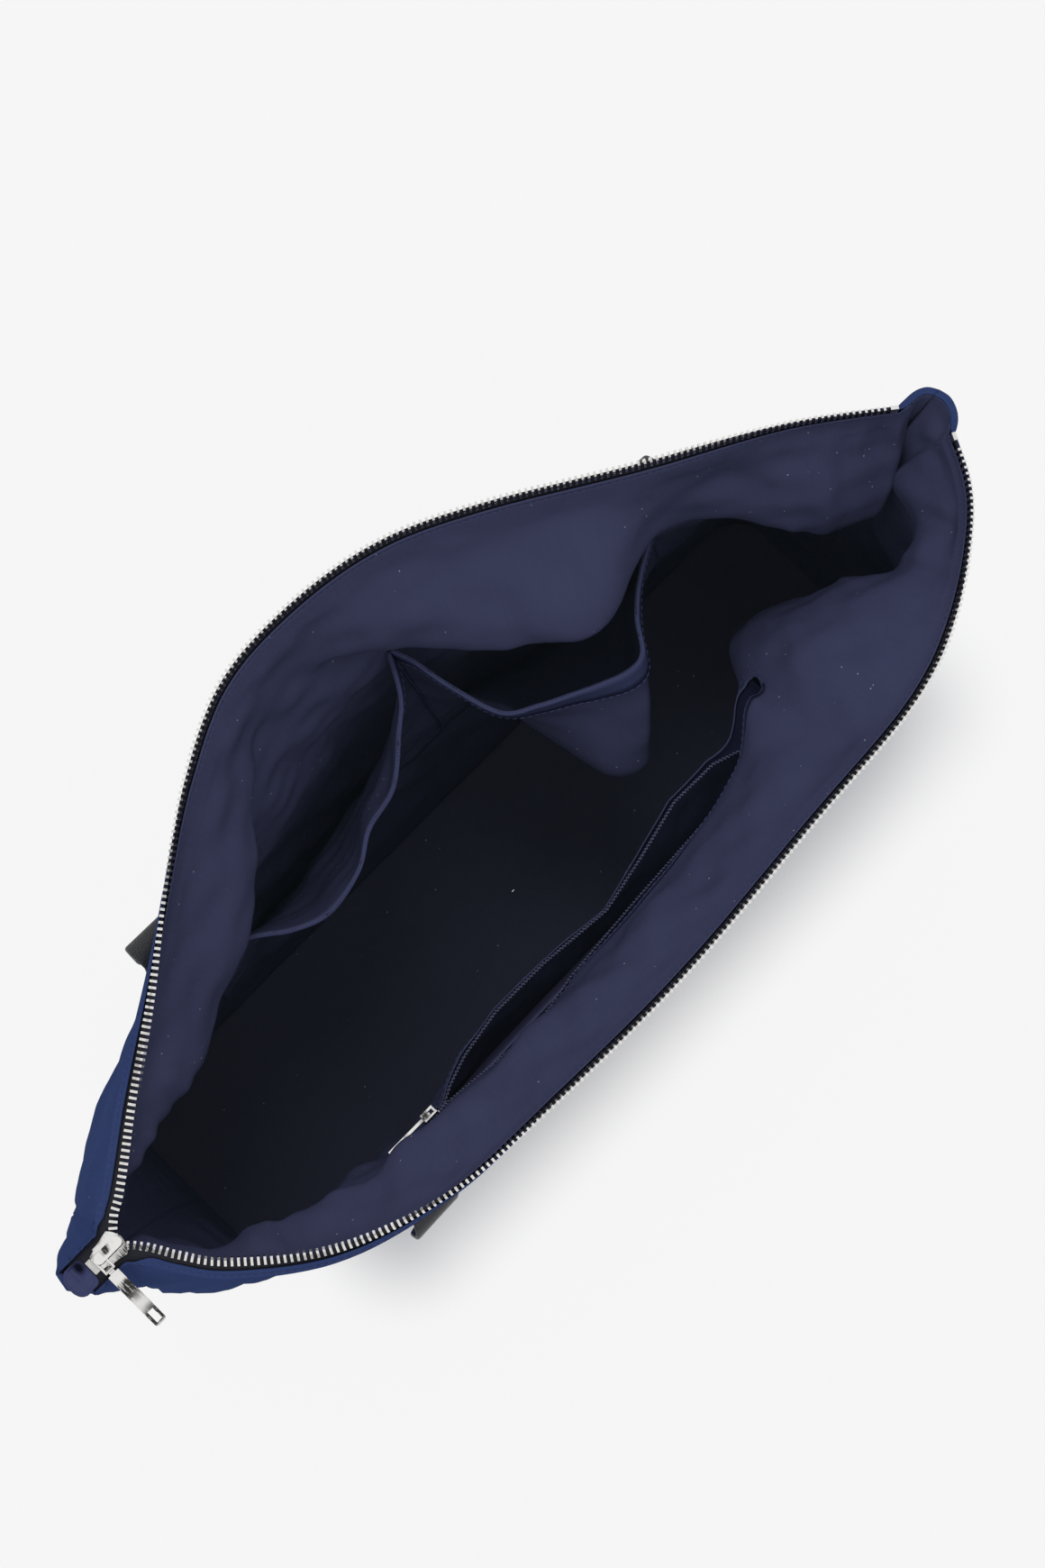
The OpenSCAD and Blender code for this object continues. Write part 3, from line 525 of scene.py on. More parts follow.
def make_sky():
    """World: bright overhead and dimmer round the sides. Direct sight gets plain white,
    and metal gets the same white with a dark flag in front of the bag, which gives a
    polished part its black streak, and a grey horizon."""
    world = bpy.data.worlds.new("light_tent")
    bpy.context.scene.world = world
    tree = new_tree(world)
    way = place_of(tree, "Generated")
    height = add(tree, "ShaderNodeSeparateXYZ", Vector=way).outputs["Z"]
    overhead = remap(tree, height, 0.15, 0.9, 0.25, 1.3, "SMOOTHSTEP")
    lit = add(tree, "ShaderNodeBackground", Color=(1, 1, 1, 1), Strength=overhead)
    seen = add(tree, "ShaderNodeBackground", Color=(1, 1, 1, 1), Strength=paper_white)
    near = vector_math(tree, "DOT_PRODUCT", way, flag_way)["Value"]
    flag = remap(tree, near, 0.964, 0.986, paper_white, 0.03, "SMOOTHSTEP")
    horizon = remap(tree, height, 0.0, 0.45, 0.35, 1.0)
    mirrored = add(tree, "ShaderNodeBackground", Color=(1, 1, 1, 1),
                   Strength=math_node(tree, "MULTIPLY", flag, horizon))
    path = tree.nodes.new("ShaderNodeLightPath")
    glossy = add(tree, "ShaderNodeMixShader", i0=path.outputs["Is Glossy Ray"], i1=lit.outputs[0],
                 i2=mirrored.outputs[0])
    direct = math_node(tree, "MAXIMUM", path.outputs["Is Camera Ray"], path.outputs["Is Transmission Ray"])
    mix = add(tree, "ShaderNodeMixShader", i0=direct, i1=glossy.outputs[0], i2=seen.outputs[0])
    finish_tree(tree, mix, "World")


def make_floor():
    """A wide pale sheet on z = 0. For direct sight it is mixed towards plain white, less
    so near the foot of the bag's front, where its shadow is kept."""
    half = 9000.0
    floor = make_mesh("floor", [(-half, -half, 0), (half, -half, 0), (half, half, 0), (-half, half, 0)],
                      [(0, 1, 2, 3)], smooth_faces=False)
    material = bpy.data.materials.new("paper_floor")
    tree = new_tree(material)
    white = (paper_white, paper_white, paper_white, 1)
    lit = add(tree, "ShaderNodeBsdfDiffuse", Color=white)
    seen = add(tree, "ShaderNodeEmission", Color=white, Strength=1.0)
    path = tree.nodes.new("ShaderNodeLightPath")
    x0, x1, y0 = (v * MM for v in shade_line)
    at = add(tree, "ShaderNodeSeparateXYZ", Vector=place_of(tree))
    beyond = math_node(tree, "SUBTRACT", at.outputs["X"], math_node(
        tree, "MINIMUM", math_node(tree, "MAXIMUM", at.outputs["X"], x0), x1))
    beside = math_node(tree, "SUBTRACT", at.outputs["Y"], y0)
    away = math_node(tree, "SQRT", math_node(tree, "MULTIPLY_ADD", beyond, beyond,
                                             math_node(tree, "MULTIPLY", beside, beside)))
    whiter = remap(tree, away, 0.0, 0.05, 0.0, 0.97, "SMOOTHSTEP")
    share_seen = math_node(tree, "MULTIPLY", path.outputs["Is Camera Ray"], whiter)
    fac = math_node(tree, "MAXIMUM", share_seen, path.outputs["Is Glossy Ray"])
    fac = math_node(tree, "MAXIMUM", fac, path.outputs["Is Transmission Ray"])
    mix = add(tree, "ShaderNodeMixShader", i0=fac, i1=lit.outputs[0], i2=seen.outputs[0])
    finish_tree(tree, mix)
    floor.data.materials.append(material)


def make_lamp(name, strength, spread, azimuth_deg, height_deg):
    """Broad far lamp: azimuth 0 stands at -Y, 90 at +X, 180 behind the bag."""
    a, e = math.radians(azimuth_deg), math.radians(height_deg)
    lamp = bpy.data.objects.new(name, bpy.data.lights.new(name, "SUN"))
    lamp.data.energy = strength
    lamp.data.angle = math.radians(spread)
    bpy.context.scene.collection.objects.link(lamp)
    lamp.rotation_euler = (math.pi / 2 - e, 0, a)
    lamp.visible_glossy = False
    return lamp


make_sky()
make_floor()
make_lamp("key", strength=0.4, spread=14, azimuth_deg=150, height_deg=78)
bpy.context.scene.view_settings.view_transform = "Standard"
print("stage of", len(bpy.data.lights), "lamp and a sky")

# %% [markdown]
# ## Surface effects shared by several materials
#
# Each effect is a node group with named sockets, built once. A group gives out heights,
# masks and tones only; the shader itself stays in each material. Weave reads the threads'
# own UV map, so it bends with the cloth, and creases and specks read Object coordinates.

# %% Node groups


def group(name, inputs, outputs):
    """Node group with float or vector sockets; returns its tree, input and output nodes."""
    tree = bpy.data.node_groups.new(name, "ShaderNodeTree")
    for key, kind, value in inputs:
        socket = tree.interface.new_socket(name=key, in_out="INPUT", socket_type=kind)
        if value is not None:
            socket.default_value = value
    for key in outputs:
        tree.interface.new_socket(name=key, in_out="OUTPUT", socket_type="NodeSocketFloat")
    return tree, tree.nodes.new("NodeGroupInput").outputs, tree.nodes.new("NodeGroupOutput").inputs


VECTOR, FLOAT = "NodeSocketVector", "NodeSocketFloat"


def noise(tree, vector, scale, detail=2.0, rough=0.5):
    """Factor of a noise texture."""
    return add(tree, "ShaderNodeTexNoise", Vector=vector, Scale=scale, Detail=detail,
               Roughness=rough).outputs[0]


def make_weave():
    """Height = 0.65 |sin(pi u T)| + 0.35 |sin(pi v T / 2)|, waved a little by noise, with
    u and v in cm of thread and T threads per cm; Tone varies slowly from thread to thread."""
    tree, given, out = group("cloth_weave", [("Threads", VECTOR, None), ("Per cm", FLOAT, 22.0)],
                             ["Height", "Tone"])
    uv = add(tree, "ShaderNodeSeparateXYZ", Vector=given["Threads"])
    wander = noise(tree, given["Threads"], 2.5)
    parts = []
    for axis, divide, weight in (("X", 1.0, 0.65), ("Y", 0.5, 0.35)):
        turns = math_node(tree, "MULTIPLY", given["Per cm"], math.pi * divide)
        angle = math_node(tree, "MULTIPLY_ADD", uv.outputs[axis], turns, wander)
        wave = math_node(tree, "ABSOLUTE", math_node(tree, "SINE", angle))
        parts.append(math_node(tree, "MULTIPLY", wave, weight))
    tree.links.new(math_node(tree, "ADD", parts[0], parts[1]), out["Height"])
    stretched = vector_math(tree, "MULTIPLY", given["Threads"], (6.0, 0.25, 1.0))
    tree.links.new(noise(tree, stretched[0], 3.0), out["Tone"])
    return tree


def make_creases():
    """Height of soft crumples: 1 - |2 noise - 1| at two sizes, sharp along the ridges."""
    tree, given, out = group("cloth_creases", [("Place", VECTOR, None), ("Per metre", FLOAT, 40.0)],
                             ["Height"])
    parts = []
    for times, weight in ((1.0, 0.65), (2.7, 0.35)):
        scale = math_node(tree, "MULTIPLY", given["Per metre"], times)
        wave = math_node(tree, "MULTIPLY_ADD", noise(tree, given["Place"], scale, 2.0, 0.45), 2.0, -1.0)
        ridge = math_node(tree, "SUBTRACT", 1.0, math_node(tree, "ABSOLUTE", wave))
        parts.append(math_node(tree, "MULTIPLY", ridge, weight))
    tree.links.new(math_node(tree, "ADD", parts[0], parts[1]), out["Height"])
    return tree


def make_lint():
    """Mask of pale specks: cells of a Voronoi pattern whose random value passes
    1 - Amount show a dot at their middle."""
    tree, given, out = group("lint_specks", [("Place", VECTOR, None), ("Per metre", FLOAT, 300.0),
                                             ("Amount", FLOAT, 0.02)], ["Mask"])
    cells = add(tree, "ShaderNodeTexVoronoi", Vector=given["Place"], Scale=given["Per metre"])
    chance = add(tree, "ShaderNodeSeparateColor", Color=cells.outputs["Color"]).outputs[0]
    limit = math_node(tree, "SUBTRACT", 1.0, given["Amount"])
    chosen = math_node(tree, "GREATER_THAN", chance, limit)
    near = remap(tree, cells.outputs["Distance"], 0.1, 0.22, 1.0, 0.0)
    tree.links.new(math_node(tree, "MULTIPLY", chosen, near), out["Mask"])
    return tree


def make_grain():
    """Leather grain: pebbles between thin valleys (distance to a Voronoi cell's edge)
    over a slow unevenness."""
    tree, given, out = group("leather_grain", [("Place", VECTOR, None), ("Per metre", FLOAT, 900.0)],
                             ["Height", "Tone"])
    cells = add(tree, "ShaderNodeTexVoronoi", Vector=given["Place"], Scale=given["Per metre"])
    cells.feature = "DISTANCE_TO_EDGE"
    pebble = remap(tree, cells.outputs["Distance"], 0.0, 0.18, 0.0, 1.0)
    slow = noise(tree, given["Place"], 120.0)
    tree.links.new(math_node(tree, "MULTIPLY_ADD", slow, 0.5, pebble), out["Height"])
    tree.links.new(noise(tree, given["Place"], 60.0, 4.0), out["Tone"])
    return tree


def make_scuffs():
    """Mask of hairline scuffs on metal: stretched noise cut to its thin peaks."""
    tree, given, out = group("metal_scuffs", [("Place", VECTOR, None)], ["Mask", "Tone"])
    long_way = vector_math(tree, "MULTIPLY", given["Place"], (700.0, 90.0, 700.0))
    lines = noise(tree, long_way[0], 3.0, 3.0)
    tree.links.new(remap(tree, lines, 0.58, 0.7, 0.0, 1.0), out["Mask"])
    tree.links.new(noise(tree, given["Place"], 150.0, 3.0), out["Tone"])
    return tree


weave_group, crease_group, lint_group, grain_group, scuff_group = (
    make_weave(), make_creases(), make_lint(), make_grain(), make_scuffs())
print("node groups:", [g.name for g in bpy.data.node_groups])

# %% [markdown]
# ## Materials
#
# The outside is a nylon satin in a clear navy, with a blue sheen that brightens the folds
# that turn away. The lining is a greyer navy, dull, with a little lint. The
# strap is near-black leather. The zip is nickel-plated metal on a black woven tape.

# %% Material builders


def place_group(tree, owner, **inputs):
    """Adds a node group with these inputs and returns its outputs."""
    n = tree.nodes.new("ShaderNodeGroup")
    n.node_tree = owner
    return feed(tree, n, inputs).outputs


def mix_colour(tree, factor, a, b):
    """Colour between a and b; each may be an RGB triple or a socket."""
    mix = tree.nodes.new("ShaderNodeMix")
    mix.data_type = "RGBA"
    a, b = (v if isinstance(v, bpy.types.NodeSocket) else (*v, 1) for v in (a, b))
    return feed(tree, mix, {"i0": factor, "i6": a, "i7": b}).outputs[2]


def bump(tree, height, distance_mm, normal=None):
    """Normal from a height between 0 and 1 that is distance_mm tall."""
    n = add(tree, "ShaderNodeBump", Height=height, Distance=distance_mm * MM, Strength=1.0)
    if normal is not None:
        tree.links.new(normal, n.inputs["Normal"])
    return n.outputs[0]


def shader(name, **constants):
    """Material with a Principled shader whose constant sockets are set by name."""
    material = bpy.data.materials.new(name)
    tree = new_tree(material)
    surface = add(tree, "ShaderNodeBsdfPrincipled", **constants)
    finish_tree(tree, surface)
    return material, tree, surface


# The fold colour is painted shade for the inside of the end tab's fold.
lint_cells, painted_fold_shade = 620.0, (0.002, 0.002, 0.004)


def cloth(name, deep, lit, roughness, threads, weave_mm, crease_mm, creases=40.0, lint=0.0, hollow=None,
          lint_colour=(0.35, 0.36, 0.42), **constants):
    """Woven cloth: colour varies between deep and lit with the threads and the slow fade,
    the weave and the creases give the normal, and pale lint may lie on it. hollow =
    (centre, radius) in mm paints shade into the inside of a fold too small to shade itself."""
    material, tree, surface = shader(name, **constants)
    uv = tree.nodes.new("ShaderNodeUVMap")
    uv.uv_map = "threads"
    place = place_of(tree)
    weave = place_group(tree, weave_group, Threads=uv.outputs[0], Per_cm=threads)
    crease = place_group(tree, crease_group, Place=place, Per_metre=creases)
    slow = noise(tree, place, 14.0, 3.0)
    tone = math_node(tree, "MULTIPLY_ADD", weave["Tone"], 0.5, math_node(tree, "MULTIPLY", slow, 0.5))
    colour = mix_colour(tree, tone, deep, lit)
    if lint:
        specks = place_group(tree, lint_group, Place=place, Per_metre=lint_cells, Amount=lint)
        colour = mix_colour(tree, specks["Mask"], colour, lint_colour)
    # Painted shade: the colour turns to the fold colour towards the hollow's middle.
    if hollow:
        centre, radius = hollow
        apart = vector_math(tree, "DISTANCE", place, [v * MM for v in centre])["Value"]
        lit_share = remap(tree, apart, 0.45 * radius * MM, radius * MM, 0.1, 1.0)
        colour = mix_colour(tree, lit_share, painted_fold_shade, colour)
    tree.links.new(colour, surface.inputs["Base Color"])
    rough = remap(tree, weave["Tone"], 0.0, 1.0, roughness - 0.06, roughness + 0.06)
    tree.links.new(rough, surface.inputs["Roughness"])
    normal = bump(tree, crease["Height"], crease_mm)
    tree.links.new(bump(tree, weave["Height"], weave_mm, normal), surface.inputs["Normal"])
    return material


def metal(name, colour, dull, roughness, scuffs=0.3, dent_mm=0.1, crown=None):
    """Plated metal: hairline scuffs and a slow dulling change colour and roughness, and
    the plating's slow waves of dent_mm bend what it mirrors. crown = (middle y in mm, k)
    gives it an S along Y, k (y - middle)^3 / 3, whose two ends lean the same way."""
    material, tree, surface = shader(name, Metallic=1.0)
    place = place_of(tree)
    worn = place_group(tree, scuff_group, Place=place)
    dulling = math_node(tree, "MULTIPLY", worn["Tone"], 0.6)
    tree.links.new(mix_colour(tree, dulling, colour, dull), surface.inputs["Base Color"])
    rough = math_node(tree, "MULTIPLY_ADD", worn["Mask"], scuffs, roughness)
    rough = math_node(tree, "MULTIPLY_ADD", worn["Tone"], 0.08, rough)
    tree.links.new(rough, surface.inputs["Roughness"])
    dented = bump(tree, noise(tree, place, 110.0, 1.0), dent_mm)
    if crown:
        middle, bend = crown
        y = add(tree, "ShaderNodeSeparateXYZ", Vector=place).outputs["Y"]
        off = math_node(tree, "DIVIDE", math_node(tree, "SUBTRACT", y, middle * MM), MM)
        cube = math_node(tree, "POWER", math_node(tree, "ABSOLUTE", off), 3.0)
        signed = math_node(tree, "MULTIPLY", math_node(tree, "SIGN", off), -bend / 3 * MM)
        drop = math_node(tree, "MULTIPLY", cube, signed)
        dented = bump(tree, drop, 1.0 / MM, dented)
    tree.links.new(bump(tree, worn["Mask"], 0.02, dented), surface.inputs["Normal"])
    return material


def leather(name, deep, lit, roughness):
    """Grained leather with a faint coat, paler on the grain's worn tops."""
    material, tree, surface = shader(name, Specular_IOR_Level=0.45, Coat_Weight=0.12,
                                     Coat_Roughness=0.35)
    place = place_of(tree)
    grain = place_group(tree, grain_group, Place=place)
    tone = math_node(tree, "MULTIPLY", grain["Height"], grain["Tone"])
    tree.links.new(mix_colour(tree, tone, deep, lit), surface.inputs["Base Color"])
    tree.links.new(math_node(tree, "MULTIPLY_ADD", grain["Tone"], 0.15, roughness - 0.07),
                   surface.inputs["Roughness"])
    tree.links.new(bump(tree, grain["Height"], 0.12), surface.inputs["Normal"])
    return material


print("material builders ready")

# %% Finishes of this bag
fold_at = (-240.6, 1.6)                 # x, y of the fold in the zip's end tab
fold_z, fold_radius = 281.6, 4.4
sheen = {"Sheen_Weight": 0.04, "Sheen_Roughness": 0.4, "Specular_IOR_Level": 0.0}


def painted_cloth_light(*colour):
    """Inputs for painted light: a faint even glow that brightens the cloth deep inside the bag."""
    return {"Emission_Color": (*colour, 1), "Emission_Strength": 1.0}


satin = cloth("navy_nylon_satin", (0.021, 0.034, 0.098), (0.036, 0.056, 0.155), 0.5, 22.0, 0.03, 0.9,
              lint=0.006, Sheen_Tint=(0.25, 0.36, 0.8, 1), **sheen)
# The tab's satin carries painted shade in its fold round fold_at.
tab_satin = cloth("folded_tab_satin", (0.03, 0.035, 0.085), (0.058, 0.064, 0.145), 0.5, 22.0, 0.03, 0.35,
                  hollow=((*fold_at, fold_z), fold_radius), Sheen_Tint=(0.4, 0.45, 0.8, 1), **sheen)
lip_cloth = cloth("turned_pocket_lip", (0.03, 0.036, 0.085), (0.046, 0.054, 0.122), 0.6, 16.0, 0.03, 0.2,
                  creases=55.0, Specular_IOR_Level=0.1)
inner_tape_cloth = cloth("inner_zip_tape", (0.007, 0.008, 0.02), (0.013, 0.015, 0.036), 0.75, 9.0, 0.1, 0.1,
                         Specular_IOR_Level=0.05)
# The base, lining and pocket cloth glow faintly: painted light for the dim inside of the bag.
base_cloth = cloth("base_lining", (0.027, 0.028, 0.05), (0.04, 0.042, 0.077), 0.7, 16.0, 0.03, 0.5,
                   lint=0.008, Specular_IOR_Level=0.1, **painted_cloth_light(0.0019, 0.0026, 0.0028))
taffeta = (0.031, 0.034, 0.075), (0.047, 0.052, 0.112)
pocket_cloth = cloth("inner_pocket_cloth", *taffeta, 0.7, 16.0, 0.03, 0.3, creases=55.0,
                     Specular_IOR_Level=0.1, **painted_cloth_light(0.007, 0.007, 0.013))
lining_cloth = cloth("navy_taffeta_lining", *taffeta, 0.68, 16.0, 0.03, 0.3, creases=55.0, lint=0.013,
                     Specular_IOR_Level=0.1, **painted_cloth_light(0.0019, 0.0026, 0.0028))
tape_cloth = cloth("black_zip_tape", (0.009, 0.0095, 0.014), (0.018, 0.019, 0.028), 0.75, 9.0, 0.12, 0.1,
                   Specular_IOR_Level=0.25)
thread_cloth = cloth("navy_sewing_thread", (0.03, 0.038, 0.11), (0.06, 0.075, 0.19), 0.5, 30.0, 0.02, 0.02,
                     Specular_IOR_Level=0.3)
coil_plastic = cloth("dark_nylon_coil", (0.05, 0.055, 0.11), (0.12, 0.13, 0.21), 0.32, 30.0, 0.01, 0.02,
                     Specular_IOR_Level=0.5)
strap_leather = leather("near_black_leather", (0.010, 0.011, 0.014), (0.032, 0.034, 0.04), 0.5)
nickel = metal("bright_nickel_teeth", (0.86, 0.85, 0.83), (0.62, 0.61, 0.6), 0.16)
polished = metal("polished_nickel", (0.88, 0.87, 0.85), (0.7, 0.69, 0.68), 0.07, 0.2, dent_mm=0.8)
puller_plate = metal("domed_puller_nickel", (0.88, 0.87, 0.85), (0.7, 0.69, 0.68), 0.06, 0.2, dent_mm=0.15,
                     crown=(-24.5, 0.0022))
print("materials:", [m.name for m in bpy.data.materials])

# %% [markdown]
# ## Zip tape
#
# Each half of the zip is a woven tape whose edge holds the teeth. It is a thin rounded
# band carried along the row: the CAD's own stretches give its path, so every tooth
# straddles it exactly. A bead along the edge is what real teeth are clamped to.

# %% Bands carried along a path


def solid_volume(points, faces):
    """Six times the signed volume of a closed mesh of quads, positive if faces point out."""
    a, b, c, d = (points[faces[:, k]] for k in range(4))
    return (np.cross(a, b) * c).sum() + (np.cross(a, c) * d).sum()


def closed_band(name, grids):
    """One piece from grids of stations x profile points: each is closed round its profile
    and capped at both ends, with its faces turned outwards."""
    points, faces, maps = [], [], []
    for p in grids:
        n, m = p.shape[:2]
        flat, around = p.reshape(-1, 3), grid_faces(n, m, closed=True)
        ends = [np.arange(m)[::-1], np.arange((n - 1) * m, n * m)]
        turn = -1 if solid_volume(flat, around) < 0 else 1
        shift = sum(len(q) for q in points)
        faces += [(f[::turn] + shift).tolist() for f in (*around, *ends)]
        points.append(flat)
        maps.append(cloth_uv(p))
    return make_mesh(name, np.vstack(points), faces, np.vstack(maps))


def sweep(name, origin, across, over, profile):
    """Closed band: origin + across * p0 + over * p1 for each point (p0, p1) of a closed
    profile, at every station."""
    profile = np.asarray(profile, float)
    return closed_band(name, [origin[:, None] + across[:, None] * profile[None, :, :1]
                              + over[:, None] * profile[None, :, 1:]])


def rounded(width, thick, radius, corner_steps=3):
    """Closed profile of a rectangle with rounded corners, centred on 0."""
    x, y = width / 2 - radius, thick / 2 - radius
    turn = np.radians(np.linspace(0, 90, corner_steps + 1))
    quarter = np.stack([np.cos(turn), np.sin(turn)], -1) * radius
    corners = [np.array([x, y]) + quarter]
    for sx, sy in ((-1, 1), (-1, -1), (1, -1)):
        q = quarter * [sx, sy] + np.array([sx * x, sy * y])
        corners.append(q[::-1] if sx * sy < 0 else q)
    return np.vstack(corners)


bead_width, bead_end, thin_share = 1.2, 1.8, 0.72


def make_tape(side):
    """Band from the fold to the tooth roots, with a bead at the roots."""
    row, word = rows[side], side_words[side]
    t = tape_thick / 2
    thin = t * thin_share
    profile = [(0, -t), (0, t), (-bead_width, t), (-bead_end, thin), (-tape_width, thin),
               (-tape_width, -thin), (-bead_end, -thin), (-bead_width, -t)]
    piece = sweep(f"{word}_tape", row["r"][1:], row["d"][1:], row["n"][1:], profile)
    return finish_piece(piece, "bag", "zip_tape", tape_cloth, f"{word}_zip_tape")


tapes = [make_tape(side) for side in (BACK, FRONT)]
print("tapes with", [len(t.data.polygons) for t in tapes], "faces")

# %% [markdown]
# ## Outer panels
#
# The satin is turned under along the top and stitched to the tape, a few millimetres from
# the teeth. From the fold it falls down the wall. The grid's rows first wrap the hem and
# then step down the wall, close together near the rim where folds are seen. Ripples of a
# few sizes push the wall in and out: gathers below the hem, slack lower down.

# %% Rows of a panel


hem_near, hem_wider, hem_from, hem_fade = 3.5, 3.0, 28, 9
hem_hidden = 3.4            # how far past the turned edge the rows leave the tape
cloth_fade = 12             # stations over which the slack dies out at both seams


def hem_edge(side):
    """Distance from the tooth roots to the turned edge, wider beside the slider."""
    return hem_near + hem_wider * (1 - smooth((rim[side]["length"] - hem_from) / hem_fade))


def hem_rows(side, face, turned):
    """Rows over the tape on its outer (face 1) or inner (face -1) side. turned lists
    (distance past the edge, height over the tape) from under the turned edge outwards."""
    f = rim[side]
    lift = tape_thick / 2 + cloth_gap
    edge = hem_edge(side)
    on = (f["on_tape"] * smooth(f["length"] / 8.0))[:, None]
    inward = -outwards(f["rim"], side)
    lines = []
    for past, height in turned:
        s = np.minimum(edge + past, tape_width + max(0.0, past - hem_hidden))[:, None]
        on_tape = f["r"] - f["d"] * s + f["n"] * face * (lift + height)
        reach, rise = (0.9 * (hem_hidden - past), height) if face > 0 else (3.0, 0.5 * height - 0.6)
        off = f["rim"] + inward * reach + np.array([0, 0, rise])
        lines.append(off * (1 - on) + on_tape * on)
    return np.stack(lines)


outer_hem = [(1.4, 0.1), (0.5, 0.05), (0.1, 0.25), (0.0, 0.6), (0.25, 1.0), (0.9, 1.15), (1.6, 1.05),
             (2.0, 0.75), (2.4, 1.05), (3.0, 1.1), (3.4, 1.0)]
down_rows = np.concatenate([np.linspace(0.012, 0.34, 56), np.linspace(0.35, 1, 34)])


def outer_slack(side, x, z, top):
    """Outward push in mm: fine gathers below the hem, broad slack in the middle."""
    depth = top - z
    gather = ripple(x, z * 0.25, 11 + side, 16) * np.exp(-depth / 30) * smooth(depth / 5)
    broad = ripple(x, z, 21 + side, 85) * np.sin(math.pi * np.clip(z / top, 0, 1))
    small = ripple(x, z, 31 + side, 30) * smooth(depth / 12) * smooth(z / 20)
    return 1.2 * gather + 2.4 * broad + 1.0 * small


trim = {                    # station and how far the satin lies outside the plain wall there
    BACK: [(0, 0), (6, -3.5), (12, 1), (18, 3), (24, 2.5), (30, 1), (36, 0.3), (48, -1.5),
           (66, -1.5), (80, -1), (110, 0)],
    FRONT: [(0, 0), (6, -4.5), (12, -2), (18, 2), (24, 4), (30, 1.5), (36, -2.2), (42, -5.7),
            (50, -9), (62, -10), (75, -10), (90, -9), (110, -7), (140, -3), (170, 0)],
}


def trimmed(side, i, v):
    """Push that brings the satin beside the slider to its drawn outline, most at v = 1/4."""
    table = np.array(trim[side], float)
    return np.interp(i, table[:, 0], table[:, 1]) * np.sin(math.pi * np.sqrt(v))


def outer_push(side, i, v):
    """All of the satin's outward push at station i and share v down."""
    p = wall(side, i, v, 0)
    top = np.interp(i, every, rim[side]["rim"][:, 2])
    slack = outer_slack(side, p[..., 0], p[..., 2], top)
    return slack * smooth(np.minimum(i, stations - 1 - i) / cloth_fade) + trimmed(side, i, v)


def outer_points(side):
    """Grid of the panel: hem rows, then wall rows pushed by the slack."""
    hem = hem_rows(side, 1, outer_hem)
    v = down_rows[:, None]
    return np.vstack([hem, wall(side, every, v, -outer_push(side, every, v))])


def make_outer(side):
    """Satin panel with its thickness inwards."""
    word = side_words[side]
    sheet = grid_piece(f"{word}_satin_panel", outer_points(side), flip=side == FRONT)
    return finish_piece(thicken(sheet, 0.6), "bag", "satin_fabric", satin, f"{word}_outer_panel")


outers = [make_outer(side) for side in (BACK, FRONT)]
print("outer panels with", [len(o.data.polygons) for o in outers], "faces")

# %% [markdown]
# ## Linings
#
# The lining hangs looser than the shell, so it bags inwards. Its crests are set by tables
# along the rim: how far each crest stands in and how deep below the rim it lies. Below a
# crest the cloth drops back to the wall, which leaves the shade under it.

# %% Sags of the lining
crest = {
    # x, inward push, depth below the rim, drop width, power of the rise
    BACK: np.array([(-248, 0, 15, 12, 0.8), (-225, 5, 15, 12, 0.8), (-200, 15, 28, 14, 0.8),
                    (-165, 20, 42, 14, 0.8), (-110, 17, 44, 12, 0.8), (-80, 11, 38, 10, 0.8),
                    (-58, 5, 30, 9, 0.7), (-45, 1, 24, 9, 0.7), (-20, 0, 24, 9, 0.7), (0, 5, 32, 12, 0.8),
                    (14, 13, 36, 16, 0.8), (35, 20, 44, 20, 0.9),
                    (61, 30, 46, 20, 1.0), (87, 40, 40, 20, 1.0), (102, 38, 36, 20, 1.0),
                    (109, 25, 34, 20, 1.0),
                    (117, 11, 34, 20, 0.9), (127, 5, 36, 22, 0.9), (139, 7, 40, 24, 0.9),
                    (149, 11, 44, 24, 0.9), (177, 25, 52, 26, 0.7), (195, 28, 60, 24, 0.6),
                    (210, 14, 54, 24, 0.6),
                    (232, 2, 30, 20, 0.8)], float),
    FRONT: np.array([(-248, 0, 15, 12, 0.8), (-225, 2, 20, 12, 0.8), (-190, 6, 30, 14, 0.8),
                     (-140, 6, 26, 14, 0.7), (-100, 5, 24, 16, 0.7), (0, 3, 22, 20, 0.7),
                     (60, 4, 24, 30, 0.7),
                     (85, 6, 30, 50, 0.8), (100, 16, 60, 60, 1.1), (118, 45, 95, 60, 0.65),
                     (130, 47, 98, 60, 0.5),
                     (142, 44, 95, 60, 0.48), (156, 36, 88, 56, 0.48), (171, 27, 76, 50, 0.5),
                     (183, 15, 60, 40, 0.55), (192, 3, 30, 30, 0.8), (232, 0, 26, 20, 0.8)], float),
}
sag_spread = (-7, -3.5, 0, 3.5, 7)      # mm along x over which the tables are evened out
sag_fade = 14               # stations over which the lining's sags die out at both seams
inset_from = 6.0            # the lining follows the satin's inward trim only past this
lining_back = 2.0           # the furthest that a fold goes back towards the satin
calm_reach, calm_margin = 24.0, 25.0    # the folds lie calm this near the slot


def sag(side, x, depth):
    """Inward push of the lining at x and a depth below the rim: rises to the crest as
    smooth(depth / crest)^power, then drops back over the drop width."""
    push, deep, drop, power = (sum(np.interp(x + e, crest[side][:, 0], crest[side][:, k])
                                   for e in sag_spread) / len(sag_spread) for k in (1, 2, 3, 4))
    rise = smooth(depth / deep) ** power
    fall = 1 - smooth((depth - deep) / drop)
    return push * rise * fall


def lining_slack(side, x, z, top):
    """Small folds: a few mm across the whole lining and vertical pulls at both ends."""
    depth = top - z
    broad = ripple(x + z * 0.5, z * 0.9, 41 + side, 48) * smooth(depth / 20)
    small = ripple(x, z, 51 + side, 20) * smooth(depth / 8)
    pulls = ripple(x * 1.0, z * 0.12, 61 + side, 14) * smooth((np.abs(x) - 140) / 60) * smooth(depth / 10)
    return 2.4 * broad + 0.9 * small + 1.8 * pulls


